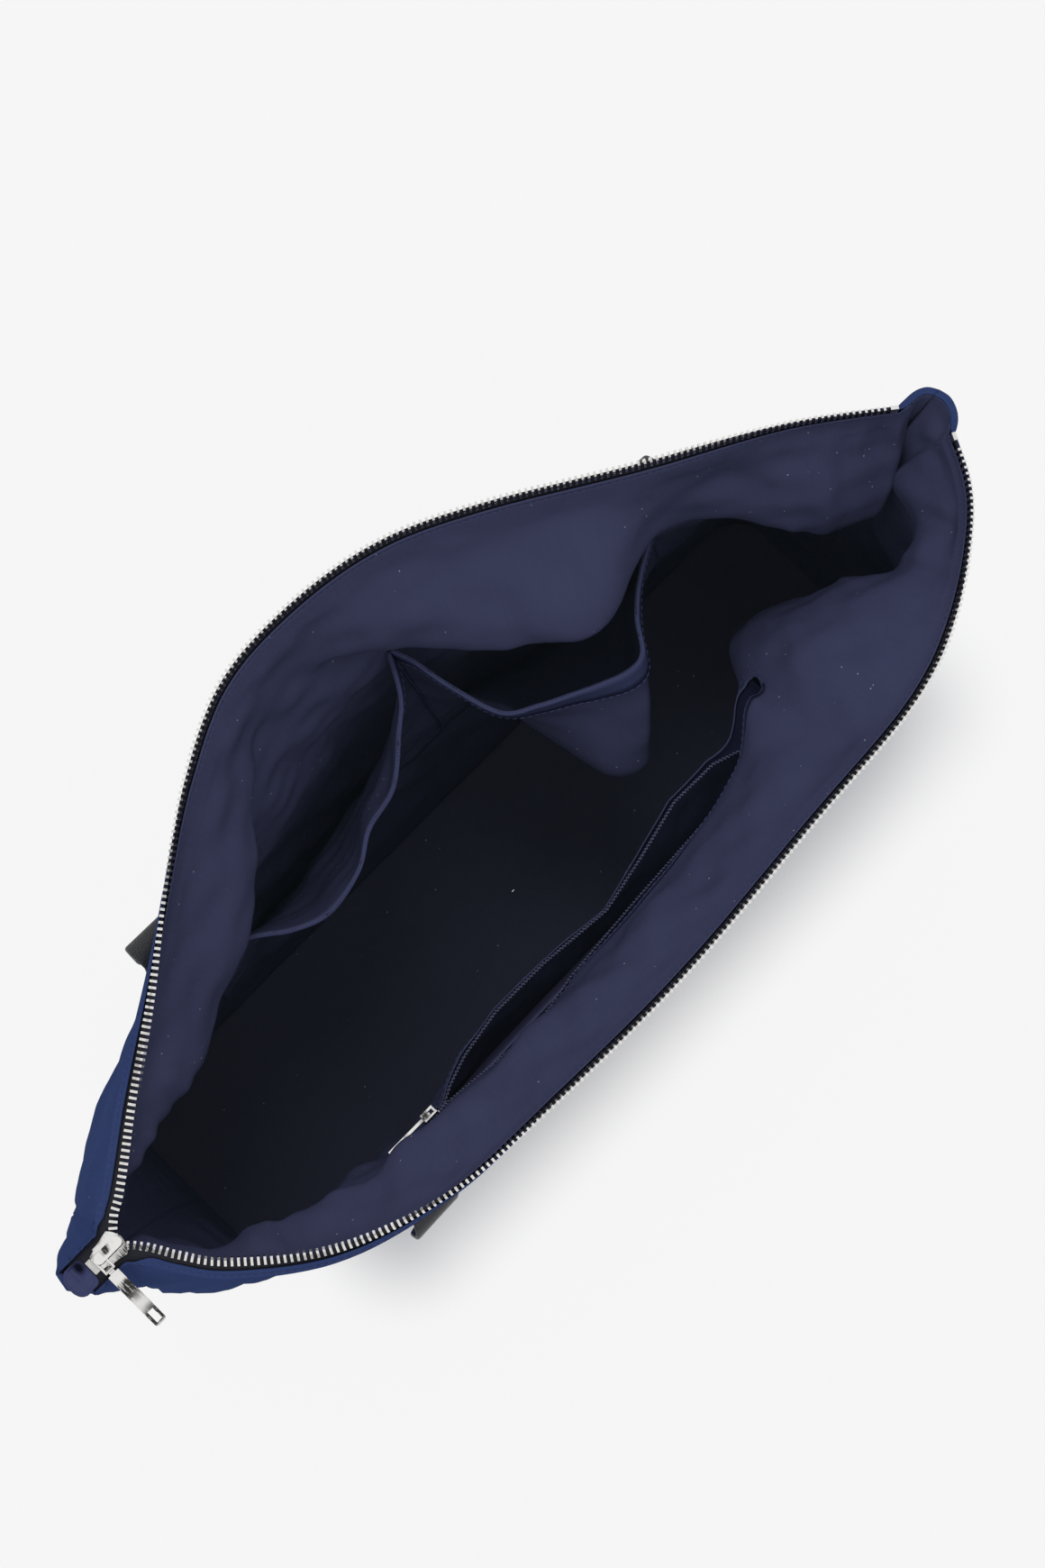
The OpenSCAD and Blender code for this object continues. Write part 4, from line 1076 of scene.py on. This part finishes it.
def lining(side, i, v, extra=0.0, sagging=1.0):
    """Lining at station i and share v down, with its sags, plus an extra push inwards."""
    i, v = np.broadcast_arrays(np.asarray(i, float), np.asarray(v, float))
    flat = wall(side, i, v, lining_in(side, v))
    top = np.interp(i, every, rim[side]["rim"][:, 2])
    x, z = flat[..., 0], flat[..., 2]
    ends = smooth(np.minimum(i, stations - 1 - i) / sag_fade)
    beside = smooth((slot_half + calm_margin - np.abs(x)) / calm_margin)
    calm = np.exp(-((z - slot_height) / calm_reach) ** 2) * beside * (side == FRONT)
    slack = lining_slack(side, x, z, top) * smooth(z / 30) * (1 - 0.9 * calm)
    push = sagging * sag(side, x, top - z) + lip_push(side, x, z) + slack
    inset = np.maximum(-trimmed(side, i, np.clip(v, 0, 1)) - inset_from, 0)
    return wall(side, i, v, lining_in(side, v) + inset + ends * np.maximum(push, -lining_back) + extra)


# %% [markdown]
# ## The slot of the inner zip pocket
#
# Its two rows of coil run along two curves: the upper lip stays near the wall and the
# lower one droops inwards, so the slot gapes. The lining's own rows follow the same two
# curves, and the strip of faces between them is left out.

# %% Slot of the inner pocket
slot_height = 226.0
slot_half = 111.0
upper_row = np.array([(-111, 0), (-104, 0), (-96, 0.5), (-76, -1.5), (-53, -4), (-26, 0.5), (16, 3.5),
                      (60, 6), (90, 9), (104, 8), (111, 0)], float)
lower_row = np.array([(-111, 0), (-104, 0), (-97, 1.5), (-90, 5), (-78, 9), (-57, 12.5), (-30, 12.5),
                      (3, 9.5), (28, 14.5), (53, 20.5), (75, 20), (92, 14), (104, 7), (111, 0)], float)
coil_line_y = -51.54
coil_half = 0.75


def lens(x):
    """0 at the slider and at the far stop, 1 between: sin(pi share)."""
    return np.sin(math.pi * np.clip((x + 100) / (slot_half + 100), 0, 1))


def coil_row(x, which):
    """Points of a coil's middle at x; which is 1 for the upper and -1 for the lower."""
    table = upper_row if which > 0 else lower_row
    y = coil_line_y + np.interp(x, table[:, 0], table[:, 1])
    apart = 0.85 + 0.9 * smooth((x + 104.5) / 3) + (2.0 if which > 0 else 3.4) * lens(x)
    return np.stack([x, y, slot_height + which * apart], -1)


slot_lip = 3.4              # tape that shows between a coil and the lining's lip


def lip_height(x, which):
    """Height of the lining's lip at x; both lips close up beyond the slot's ends."""
    inside = smooth((slot_half + 3 - np.abs(x)) / 5)
    apart = coil_row(x, which)[..., 2] - slot_height + which * (coil_half + slot_lip)
    return slot_height + which * 0.6 + (apart - which * 0.6) * inside


def lip_push(side, x, z):
    """Inward push of the front lining beside the slot, so that it meets the tape's lips:
    that of the nearer row, fading over 60 mm below and 30 mm above."""
    if side == BACK:
        return 0.0
    inside = smooth((slot_half + 12 - np.abs(x)) / 26)
    up = np.interp(x, upper_row[:, 0], upper_row[:, 1]) * (1 - smooth((z - slot_height) / 34))
    low = np.interp(x, lower_row[:, 0], lower_row[:, 1]) * (1 - smooth((slot_height - z) / 62))
    return inside * np.where(z > slot_height, up, low)


print("slot between", lip_height(np.array([0.0]), -1), "and", lip_height(np.array([0.0]), 1))

# %% [markdown]
# ## Building the two linings
#
# The front lining's rows are laid out in three bands: from the rim to the slot's upper
# lip, across the slot, and from its lower lip down to the base.

# %% Linings
inner_hem = [(1.3, 0.1), (0.5, 0.05), (0.1, 0.2), (0.0, 0.5), (0.25, 0.85), (0.9, 0.95), (1.6, 0.85),
             (2.0, 0.6), (2.4, 0.85), (3.2, 0.9)]
rows_above, rows_below = 44, 50         # rows of the front lining over and under the slot
slot_row = len(inner_hem) + rows_above - 1
slot_x = wall(FRONT, every, 0.22, 12)[:, 0]     # x of each station at the slot's height


def back_lining_points():
    """Hem rows, then lining rows at the same shares as the satin's."""
    return np.vstack([hem_rows(BACK, -1, inner_hem), lining(BACK, every, down_rows[:, None])])


def front_lining_points():
    """Hem rows, rows to the upper lip, rows from the lower lip; returns also the slot's mask."""
    lips = [share_at(FRONT, every, lip_height(slot_x, which)) for which in (1, -1)]
    above = np.linspace(0.012, 1, rows_above)[:, None] * lips[0]
    below = lips[1] + np.linspace(0, 1, rows_below)[:, None] ** 1.25 * (1 - lips[1])
    p = np.vstack([hem_rows(FRONT, -1, inner_hem), lining(FRONT, every, above), lining(FRONT, every, below)])
    keep = np.ones((len(p) - 1, stations - 1), bool)
    keep[slot_row] = np.abs(slot_x[:-1] + slot_x[1:]) / 2 > slot_half + 1
    return p, keep


front_points, front_keep = front_lining_points()
linings = [grid_piece("back_lining_cloth", back_lining_points(), flip=True),
           grid_piece("front_lining_cloth", front_points, keep=front_keep)]
for piece, node in zip(linings, ("back_lining", "front_lining")):
    finish_piece(thicken(piece, 0.5), "bag", "lining_fabric", lining_cloth, node)
print("linings with", [len(o.data.polygons) for o in linings], "faces")

# %% [markdown]
# ## Base
#
# The bottom is a stiffened oval: one fabric disc outside and one of lining inside. Both
# are rings that shrink towards the middle line of the base.

# %% Base and its lining


def base_rings(grow, height, levels):
    """Rings of the whole outline from its edge to its middle: each ring is the outline
    scaled about the base's middle by k, at the height for k."""
    outline = np.vstack([base[BACK][:-1], base[FRONT][::-1][:-1]])
    middle = np.array([0, base_middle, 0])
    wider = 1 + grow / (base_length / 2), 1 + grow / (base_depth / 2)
    rings = []
    for k, z in levels:
        ring = (outline - middle) * [k * wider[0], k * wider[1], 0]
        rings.append(ring + middle + np.array([0, 0, height + z]))
    return np.stack(rings)


def make_base(name, node, levels, grow, height, flip, slot, material):
    """Disc of rings, closed at the middle by its last tiny ring."""
    piece = grid_piece(name, base_rings(grow, height, levels), flip=flip, closed=True)
    return finish_piece(piece, "bag", slot, material, node)


inner_shares = (0.7, 0.4, 0.12, 0.004)
under = [(1.0, 3.4), (1.0, 1.6), (0.996, 0.8), (0.985, 0.4), *((k, 0.25) for k in (0.95, *inner_shares))]
inside = [(1.0, 6.0), (0.99, 3.0), (0.97, 1.2), (0.92, 0.3), *((k, 0.0) for k in inner_shares)]
make_base("satin_base", "base_outer_panel", under, 0.0, 0.0, False, "satin_fabric", satin)
make_base("base_lining_cloth", "base_lining", inside, -10.0, low_high("base_lining")[0][2] + 0.2, True,
          "lining_fabric", base_cloth)
print("base lining lies at", round(float(low_high("base_lining")[0][2]), 1), "mm")

# %% [markdown]
# ## Slip pockets
#
# Two flat pockets are stitched to the back lining at their sides and foot. Their lips
# droop forwards by their own weight. Each leaf is a grid from its lip to its foot: the lip
# follows a drawn curve and the rest eases back on to the lining.

# %% Slip pockets
pocket_top = 230.0
pocket_foot = 100.0
lip_droop = 3.0             # of a lip's middle
lip_curves = {
    # x, y of the lip; None stands for the lining's own y at the leaf's two sides
    "left_slip_pocket": [(-133.7, None), (-124, 52), (-107, 51.5), (-90.5, 40.5), (-75, 35),
                         (-55, 39), (-40.5, 47.5), (-22, 52.3), (-4.3, 66.5), (6, 76), (15.4, None)],
    "right_slip_pocket": [(16.4, None), (19.5, 83), (22.5, 66), (29.3, 43.3), (42, 34.5), (54, 28.5),
                          (67, 22.5), (78.5, 18.5), (87, 20), (95.5, 31.5), (108, 42), (127.7, None)],
}
belly = {                   # x of the lip and how far the leaf billows in front of it
    "left_slip_pocket": [(-134, 0), (15, 0)],
    "right_slip_pocket": [(16, 0), (30, 4), (42, 12), (60, 24), (68, 29), (86, 35), (96, 24),
                          (110, 8), (128, 0)],
}
full_belly, belly_at, belly_share = 25.0, 0.42, 0.7
lip_rows = 4                # rows of a leaf's grid that its turned lip covers


def pocket_points(node, rows_n=44, cols_n=120):
    """Grid of a leaf: lining point at (w, h) + (lip(w) - lining(w, 0)) (1 - h)^1.5, with
    small folds that hang from the lip. Where it billows, the leaf first comes forwards by
    the belly's depth and keeps the lip's push until h = 0.4."""
    curve = lip_curves[node]
    x0, x1 = curve[0][0], curve[-1][0]
    w = np.linspace(0, 1, cols_n)
    h = np.linspace(0, 1, rows_n)[:, None]
    i = station_at(BACK, x0 + (x1 - x0) * w)
    z = pocket_top - (pocket_top - pocket_foot) * h
    on_wall = lining(BACK, i, share_at(BACK, i, z), 0.9, sagging=0.0)
    ends = on_wall[0, [0, -1], 1]
    drawn = [(x, y if y is not None else ends[0 if x == x0 else 1]) for x, y in curve]
    lip = even(spline(drawn, 12), cols_n - 1)
    off = np.zeros((cols_n, 3))
    off[:, :2] = lip - on_wall[0, :, :2]
    out, deep = np.array(belly[node], float).T
    full = np.interp(lip[:, 0], out, deep)
    share_full = np.clip(full / full_belly, 0, 1)
    ease = (1 - h) ** 1.5 * (1 - share_full) + (1 - smooth((h - 0.4) / 0.6)) * share_full
    p = on_wall + off[None] * ease[..., None]
    swell = np.where(h < belly_at, smooth(h / belly_at), 1 - smooth((h - belly_at) / 0.5))
    p[..., :2] -= belly_share * (full * swell)[..., None]
    folds = ripple(p[..., 0], p[..., 2] * 0.15, 71, 34) * 2.2 * ease * np.sin(math.pi * w)
    p[..., 1] += folds * smooth(h / 0.06)
    p[..., 2] -= lip_droop * np.sin(math.pi * w) ** 2 * (1 - h)
    return p


pocket_grids = {}
for node in lip_curves:
    pocket_grids[node] = pocket_points(node)
    leaf = thicken(grid_piece(node + "_cloth", pocket_grids[node], flip=True), 1.0)
    finish_piece(leaf, "bag", "lining_fabric", lining_cloth, node)
    lip = thicken(grid_piece(node + "_lip", pocket_grids[node][:lip_rows], flip=True), 1.5, offset=0.0)
    finish_piece(lip, "bag", "lining_fabric", lip_cloth)
print("pocket grids:", {k: g.shape for k, g in pocket_grids.items()})

# %% [markdown]
# ## Inner zip
#
# Its tapes come out from behind the lining's lips. The coil is one nylon wire wound in
# small loops: a helix carried along each row, about 150 turns a side.

# %% Inner tapes and coils
lip_points = {which: lining(FRONT, every, share_at(FRONT, every, lip_height(slot_x, which)))
              for which in (1, -1)}
tape_x = np.linspace(-slot_half + 0.5, slot_half - 0.5, 220)
lip_behind = 0.9            # the tape lies this far behind the lining's lip
coil_turns, wire_radius = 148, 0.24


def inner_tape_points(which):
    """Rows from a hem behind the lip, past the lip, to the coil's inner edge."""
    lip = lip_points[which]
    y = np.interp(tape_x, lip[:, 0], lip[:, 1])
    z = np.interp(tape_x, lip[:, 0], lip[:, 2])
    coil = coil_row(tape_x, which)
    lines = [np.stack([tape_x, y - lip_behind, z + which * up], -1) for up in (4.0, 1.0)]
    lines += [np.stack([tape_x, (y + coil[:, 1]) / 2 - 0.7, (z + coil[:, 2]) / 2], -1),
              coil + np.array([0, -0.1, which * 0.5])]
    return np.stack(lines)


def helix_points(which, round_steps=12):
    """Middle line of the wire: coil row + radius (cos a, sin a) across it, a = 2 pi turn."""
    a = np.linspace(0, 2 * math.pi * coil_turns, coil_turns * round_steps + 1)
    x = np.linspace(-slot_half + 0.5, slot_half - 0.5, len(a))
    p = coil_row(x, which)
    p[:, 1] += np.cos(a) * (coil_half - 0.2)
    p[:, 2] += np.sin(a) * (coil_half - 0.2)
    return p


def tube(name, path, radius, sides=6):
    """Round tube along a path: rings in the plane of two normals of its tangent."""
    t = unit(np.gradient(path, axis=0))
    a = unit(np.cross(t, np.array([1.0, 0.15, 0.1])))
    b = np.cross(t, a)
    turn = np.linspace(0, 2 * math.pi, sides, endpoint=False)
    profile = np.stack([np.cos(turn), np.sin(turn)], -1) * radius
    return sweep(name, path, a, b, profile)


def close_up(piece):
    """Gives a piece its own copy of its mesh."""
    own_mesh(piece)


for which, word in ((1, "upper"), (-1, "lower")):
    cloth_part = grid_piece(f"inner_{word}_tape_cloth", inner_tape_points(which), flip=which < 0)
    finish_piece(thicken(cloth_part, 0.45), "bag", "inner_zip_tape", inner_tape_cloth,
                 f"inner_zip_{word}_tape")
    wire = tube(f"inner_{word}_coil_wire", helix_points(which), wire_radius)
    finish_piece(wire, "bag", "nylon_coil", coil_plastic, f"inner_zip_{word}_coil")
    close_up(cloth_part)
    close_up(wire)
print("coil wires with", len(wire.data.polygons), "faces each")

# %% [markdown]
# ## Bag of the inner pocket
#
# A flat bag of lining hangs between the front panel and its lining, behind the zip. It
# never shows, but the bag would not be whole without it: two leaves joined at the foot.

# %% Inner pocket bag
bag_over, bag_deep, leaf_short = 6.5, 110.0, 14.0   # over the zip, below it, and of the inner leaf
bag_room = {"satin": 0.6, "lining": 2.2, "leaves": 0.4}     # least gaps that keep it out of sight


def pocket_bag_points():
    """Rows down the outer leaf, round the foot and up the inner leaf; at both sides the
    leaves close by 0.1 + 0.9 sqrt(sin(pi w))."""
    w = np.linspace(0, 1, 61)
    i = station_at(FRONT, -slot_half + 2 * slot_half * w)
    top, foot = slot_height + bag_over, slot_height - bag_over - bag_deep
    levels = [(z, -1) for z in np.linspace(top, foot, 20)]
    levels += [(z, 1) for z in np.linspace(foot, top - leaf_short, 20)]
    spread = 0.1 + 0.9 * np.sqrt(np.sin(math.pi * w))
    lines = []
    for z, leaf in levels:
        v = share_at(FRONT, i, z)
        near = outer_thick + cloth_gap + np.maximum(-outer_push(FRONT, i, v), 0) + bag_room["satin"]
        far = np.maximum(lining_in(FRONT, v) - bag_room["lining"], near + bag_room["leaves"])
        round_foot = 1 - math.exp(-abs(z - foot) / 4)
        lines.append(wall(FRONT, i, v, (near + far) / 2 + leaf * (far - near) / 2 * spread * round_foot))
    return np.stack(lines)


pocket_bag = thicken(grid_piece("inner_pocket_bag_cloth", pocket_bag_points()), 0.4)
finish_piece(pocket_bag, "bag", "lining_fabric", pocket_cloth, "inner_pocket_bag")
print("pocket bag", [round(v / MM) for v in pocket_bag.dimensions], "mm")

# %% [markdown]
# ## End tab of the zip
#
# A rounded tab of satin is folded over the tapes' cut ends and sewn down all round. It is
# a small cushion of a shape: a superellipse outline whose rings rise to a soft edge.

# %% End tab
tab_low, tab_high = low_high("zip_end_tab")


def tab_points():
    """Rings of |x/a|^e + |y/b|^e = 1 scaled by k, from the underside's edge over the rim to
    the middle; e is 6 at the slider and 2.4 at the rounded outer end. A pinch next to the
    outer end leaves a rolled edge and a deep fold: exp(-(u/1.1)^2 - (w/3)^2) in mm."""
    middle, half = (tab_low + tab_high) / 2, (tab_high - tab_low) / 2 * [1, 0.92, 1]
    a = np.linspace(0, 2 * math.pi, 120, endpoint=False)
    c, s = np.cos(a), np.sin(a)
    e = np.where(c > 0, 6.0, 2.4 + 3.6 * np.clip(1 + c / 0.35, 0, 1))
    r = (np.abs(c) ** e + np.abs(s) ** e) ** (-1 / e)
    rings = []
    for k, z in ((0.02, 0), (0.9, 0), (0.985, 0.15), (1.0, 0.5), (0.985, 0.85), (0.94, 1.1), (0.88, 1.15),
                 (0.84, 0.95), (0.8, 1.15), *((k, 1.5 - 0.35 * k * k) for k in np.linspace(0.74, 0.02, 22))):
        x, y = half[0] * np.where(c < 0, 0.8, 1.0) * r * c * k, half[1] * r * s * k
        u, w = middle[0] + x - fold_at[0], middle[1] + y - fold_at[1]
        pit = np.exp(-(u / 1.1) ** 2 - (w / 3) ** 2)
        roll = np.exp(-((u + 2.4) / 1.3) ** 2 - (w / 5) ** 2)
        height = z - min(z, 1.4) * pit + (1.1 * roll if z > 1.0 else 0.0)
        rings.append(np.stack([middle[0] + x, middle[1] + y, tab_low[2] + height], -1))
    return np.stack(rings)


tab = grid_piece("end_tab_cloth", tab_points(), closed=True)
finish_piece(tab, "bag", "satin_fabric", tab_satin, "zip_end_tab")
print("tab", np.round(tab_high - tab_low, 1), "mm")

# %% [markdown]
# ## Straps
#
# Each handle is a folded leather strip: a rounded section carried round the loop. Its
# ends are sewn to the panel, turn over the hinge line and blend into the loop, so a leaf
# of grid rows follows the panel, the bend and the hanging strap in turn.

# %% Where the handles hang
strap_wide, strap_thick = 24.0, 3.0
handle_span, handle_drop = 262.0, 215.0
hinge_height = 240.0
hinge_gaps = {FRONT: (11.5, 7.0), BACK: (9.5, 10.0)}    # off the panel, left and right
loop_lean = {FRONT: -13.0, BACK: 11.0}
root_length, sewn_length, sewn_over = 18.0, 34.0, 2.0
strap_edge = 1.3            # radius of the strap's rounded edges
bend_from, bend_to, bend_lean = 125, 21, 25         # degrees round the bend over the hinge


def panel_y(side, x):
    """The panel's y behind the hinge line at x."""
    i = station_at(side, x)
    return float(wall(side, i, share_at(side, i, hinge_height), 0)[1])


hinge_ends = {side: [panel_y(side, end * handle_span / 2) + side * gap
                     for end, gap in zip((-1, 1), hinge_gaps[side])] for side in (BACK, FRONT)}


def strap_y(side, x, drop):
    """y of a loop's middle: straight along the hinge line, and leaning out as it drops."""
    start, end = hinge_ends[side]
    return start + (end - start) * (x / handle_span + 0.5) + side * loop_lean[side] * drop / handle_drop


print("hinge lines run between y =", {k: np.round(v, 1) for k, v in hinge_ends.items()})

# %% Loops of the handles


def loop_path():
    """(x, drop, turn in degrees) along the loop: a leg, a half circle and a leg."""
    r = handle_span / 2
    leg = handle_drop - strap_wide / 2 - r
    down = [(-r, d, 180) for d in np.linspace(root_length + cloth_gap, leg, 14)[:-1]]
    bend = [(r * math.cos(math.radians(a)), leg + r * math.sin(math.radians(a)), a)
            for a in np.linspace(180, 0, 61)]
    climb = [(r, d, 0) for d in np.linspace(leg, root_length + cloth_gap, 14)[1:]]
    return np.array(down + bend + climb)


def make_loop(side):
    """Rounded band whose width turns with the loop: at q across, x and drop move by
    q cos and q sin of the turn, and y is read off the strap's own plane there."""
    x, drop, turn = (column[:, None] for column in loop_path().T)
    q, d = rounded(strap_wide, strap_thick, strap_edge).T
    px, pd = x + q * np.cos(np.radians(turn)), drop + q * np.sin(np.radians(turn))
    p = np.stack([px, strap_y(side, px, pd) + d, hinge_height - pd], -1)
    word = side_words[side]
    return finish_piece(closed_band(f"{word}_handle_strap", [p]), f"{word}_handle", "strap",
                        strap_leather, f"{word}_handle")


for side in (BACK, FRONT):
    make_loop(side)
print("loops hang", handle_drop, "mm")

# %% Ends of the handles


def end_path(side, x, q, d):
    """Points of an end at share q across and depth d from its outer face: sewn on the
    panel, round the bend over the hinge line, then hanging."""
    half, top = strap_wide / 2, hinge_height + sewn_over
    turn = math.atan((panel_y(side, x + half) - panel_y(side, x - half)) / strap_wide)
    i = station_at(side, x + q * strap_wide / 2 * math.cos(turn))
    z = np.linspace(top - sewn_length, top, 14)
    sewn = wall(side, i, share_at(side, i, z), -2 * cloth_gap - d)
    start = wall(side, i, share_at(side, i, top), -2 * cloth_gap)
    px = x + q * strap_wide / 2
    across = np.array([px, strap_y(side, px, 0) + side * strap_thick / 2]) - start[:2]
    lean = math.cos(math.radians(bend_lean))
    r = np.linalg.norm(across) / (1 + lean)
    a = np.radians(np.linspace(bend_from, bend_to, 12))[:, None]
    bend = np.hstack([start[:2] + unit(across) * (r * lean + (r - d) * np.cos(a)),
                      hinge_height + (r - d) * np.sin(a)])
    drop = np.linspace(2, root_length, 6)
    hung = np.stack([px + 0 * drop, strap_y(side, px, drop) + side * (strap_thick / 2 - d),
                     hinge_height - drop], -1)
    return np.vstack([sewn, bend, hung])


def make_ends(side):
    """Both ends of a handle as one piece, blended from the bag to the loop."""
    section, word = rounded(strap_wide, strap_thick, strap_edge), side_words[side]
    grids = [np.stack([end_path(side, x, q / (strap_wide / 2), d + strap_thick / 2)
                       for q, d in section], 1) for x in (-handle_span / 2, handle_span / 2)]
    piece = closed_band(f"{word}_handle_roots", grids)
    piece.data.materials.append(strap_leather)
    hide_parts(f"{word}_handle_ends")
    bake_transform(piece)
    return piece


for side in (BACK, FRONT):
    make_ends(side)
print("sewn ends are", sewn_length, "mm long")

# %% [markdown]
# ## Metal
#
# Teeth, stops, sliders and pullers are hard and their CAD shapes are right, so they only
# take their finish: bright nickel on the teeth and stops, polished nickel on the rest.

# %% Finish the metal


def plate(node, material):
    """Gives a CAD node its finish."""
    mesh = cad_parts[node].data
    mesh.materials.clear()
    mesh.materials.append(material)


for node in ("front_zip_teeth", "back_zip_teeth", "front_top_stop", "back_top_stop", "bottom_stop",
             "inner_end_stop"):
    plate(node, nickel)
for node in ("slider_body", "slider_bail", "puller_link", "inner_slider_body", "inner_puller"):
    plate(node, polished)
plate("puller", puller_plate)
print("metal nodes plated")

# %% [markdown]
# ## Stitches
#
# Seams are rows of short stitches: lens-shaped threads a little proud of the cloth. One
# stitch is made once and repeated along each seam line, one mesh for each row.

# %% Rows of stitches
stitch_along = np.array([-0.5, -0.34, 0.0, 0.34, 0.5])
stitch_wide = np.array([0.05, 0.75, 1.0, 0.75, 0.05])
hem_row, hem_span = 7, slice(4, -8)     # row of a hem that is sewn, and its sewn stations
side_inset, lip_inset = 1, 2            # columns from a leaf's sides to its seams and lip seam


def grid_normals(p):
    """Unit normals of a grid, from the cross product of its two directions."""
    return unit(np.cross(np.gradient(p, axis=0), np.gradient(p, axis=1)))


def stitch_row(name, path, over, pitch=3.0, long=2.2, radius=0.2, slot="satin_fabric"):
    """Stitches every pitch mm along a path; over is the side that they lie on. Points:
    centre + along * long * t + radius * w(t) * (across cos a + over sin a)."""
    centres = even(path, int(running(path)[-1] / pitch))
    length = running(path)
    up = unit(at_lengths(path, over, running(centres) / running(centres)[-1] * length[-1]))
    along = unit(np.gradient(centres, axis=0))
    across = unit(np.cross(along, up))
    up = np.cross(across, along)
    a = np.linspace(0, 2 * math.pi, 5, endpoint=False)[None, None, :, None]
    t, w = stitch_along[None, :, None, None], stitch_wide[None, :, None, None]
    c, d, e, f = (q[:, None, None, :] for q in (centres, along, across, up))
    p = c + d * long * t + radius * w * (e * np.cos(a) + f * np.sin(a)) + f * radius * 0.5
    piece = closed_band(name, list(p))
    return finish_piece(piece, "bag", slot, thread_cloth)


for side, word in side_words.items():
    for face, turned, cloth_word in ((1, outer_hem, "satin"), (-1, inner_hem, "lining")):
        line = hem_rows(side, face, turned)[hem_row]
        stitch_row(f"{word}_{cloth_word}_hem_stitches", line[hem_span],
                   face * rim[side]["n"][hem_span], slot=cloth_word + "_fabric")
for node, p in pocket_grids.items():
    over = grid_normals(p)
    over *= np.sign((over[:, :, 1] * -1).mean())
    edge = (lip_rows - 1, slice(lip_inset, -lip_inset))
    stitch_row(node + "_lip_stitches", p[edge] + over[edge], over[edge], slot="lining_fabric")
    for end, k in (("left", side_inset), ("right", -1 - side_inset)):
        seam = (slice(lip_inset, None), k)
        stitch_row(f"{node}_{end}_stitches", p[seam] + over[seam] * 0.1, over[seam], slot="lining_fabric")
slot_over = -grid_normals(front_points)
slot_over *= np.sign(slot_over[20:60, 100:200, 1].mean())
for word, k in (("upper", slot_row - 1), ("lower", slot_row + 4)):
    at = np.abs(front_points[k, :, 0]) < slot_half + 3
    stitch_row(f"slot_{word}_stitches", front_points[k, at] + slot_over[k, at] * 0.1,
               slot_over[k, at], slot="lining_fabric")
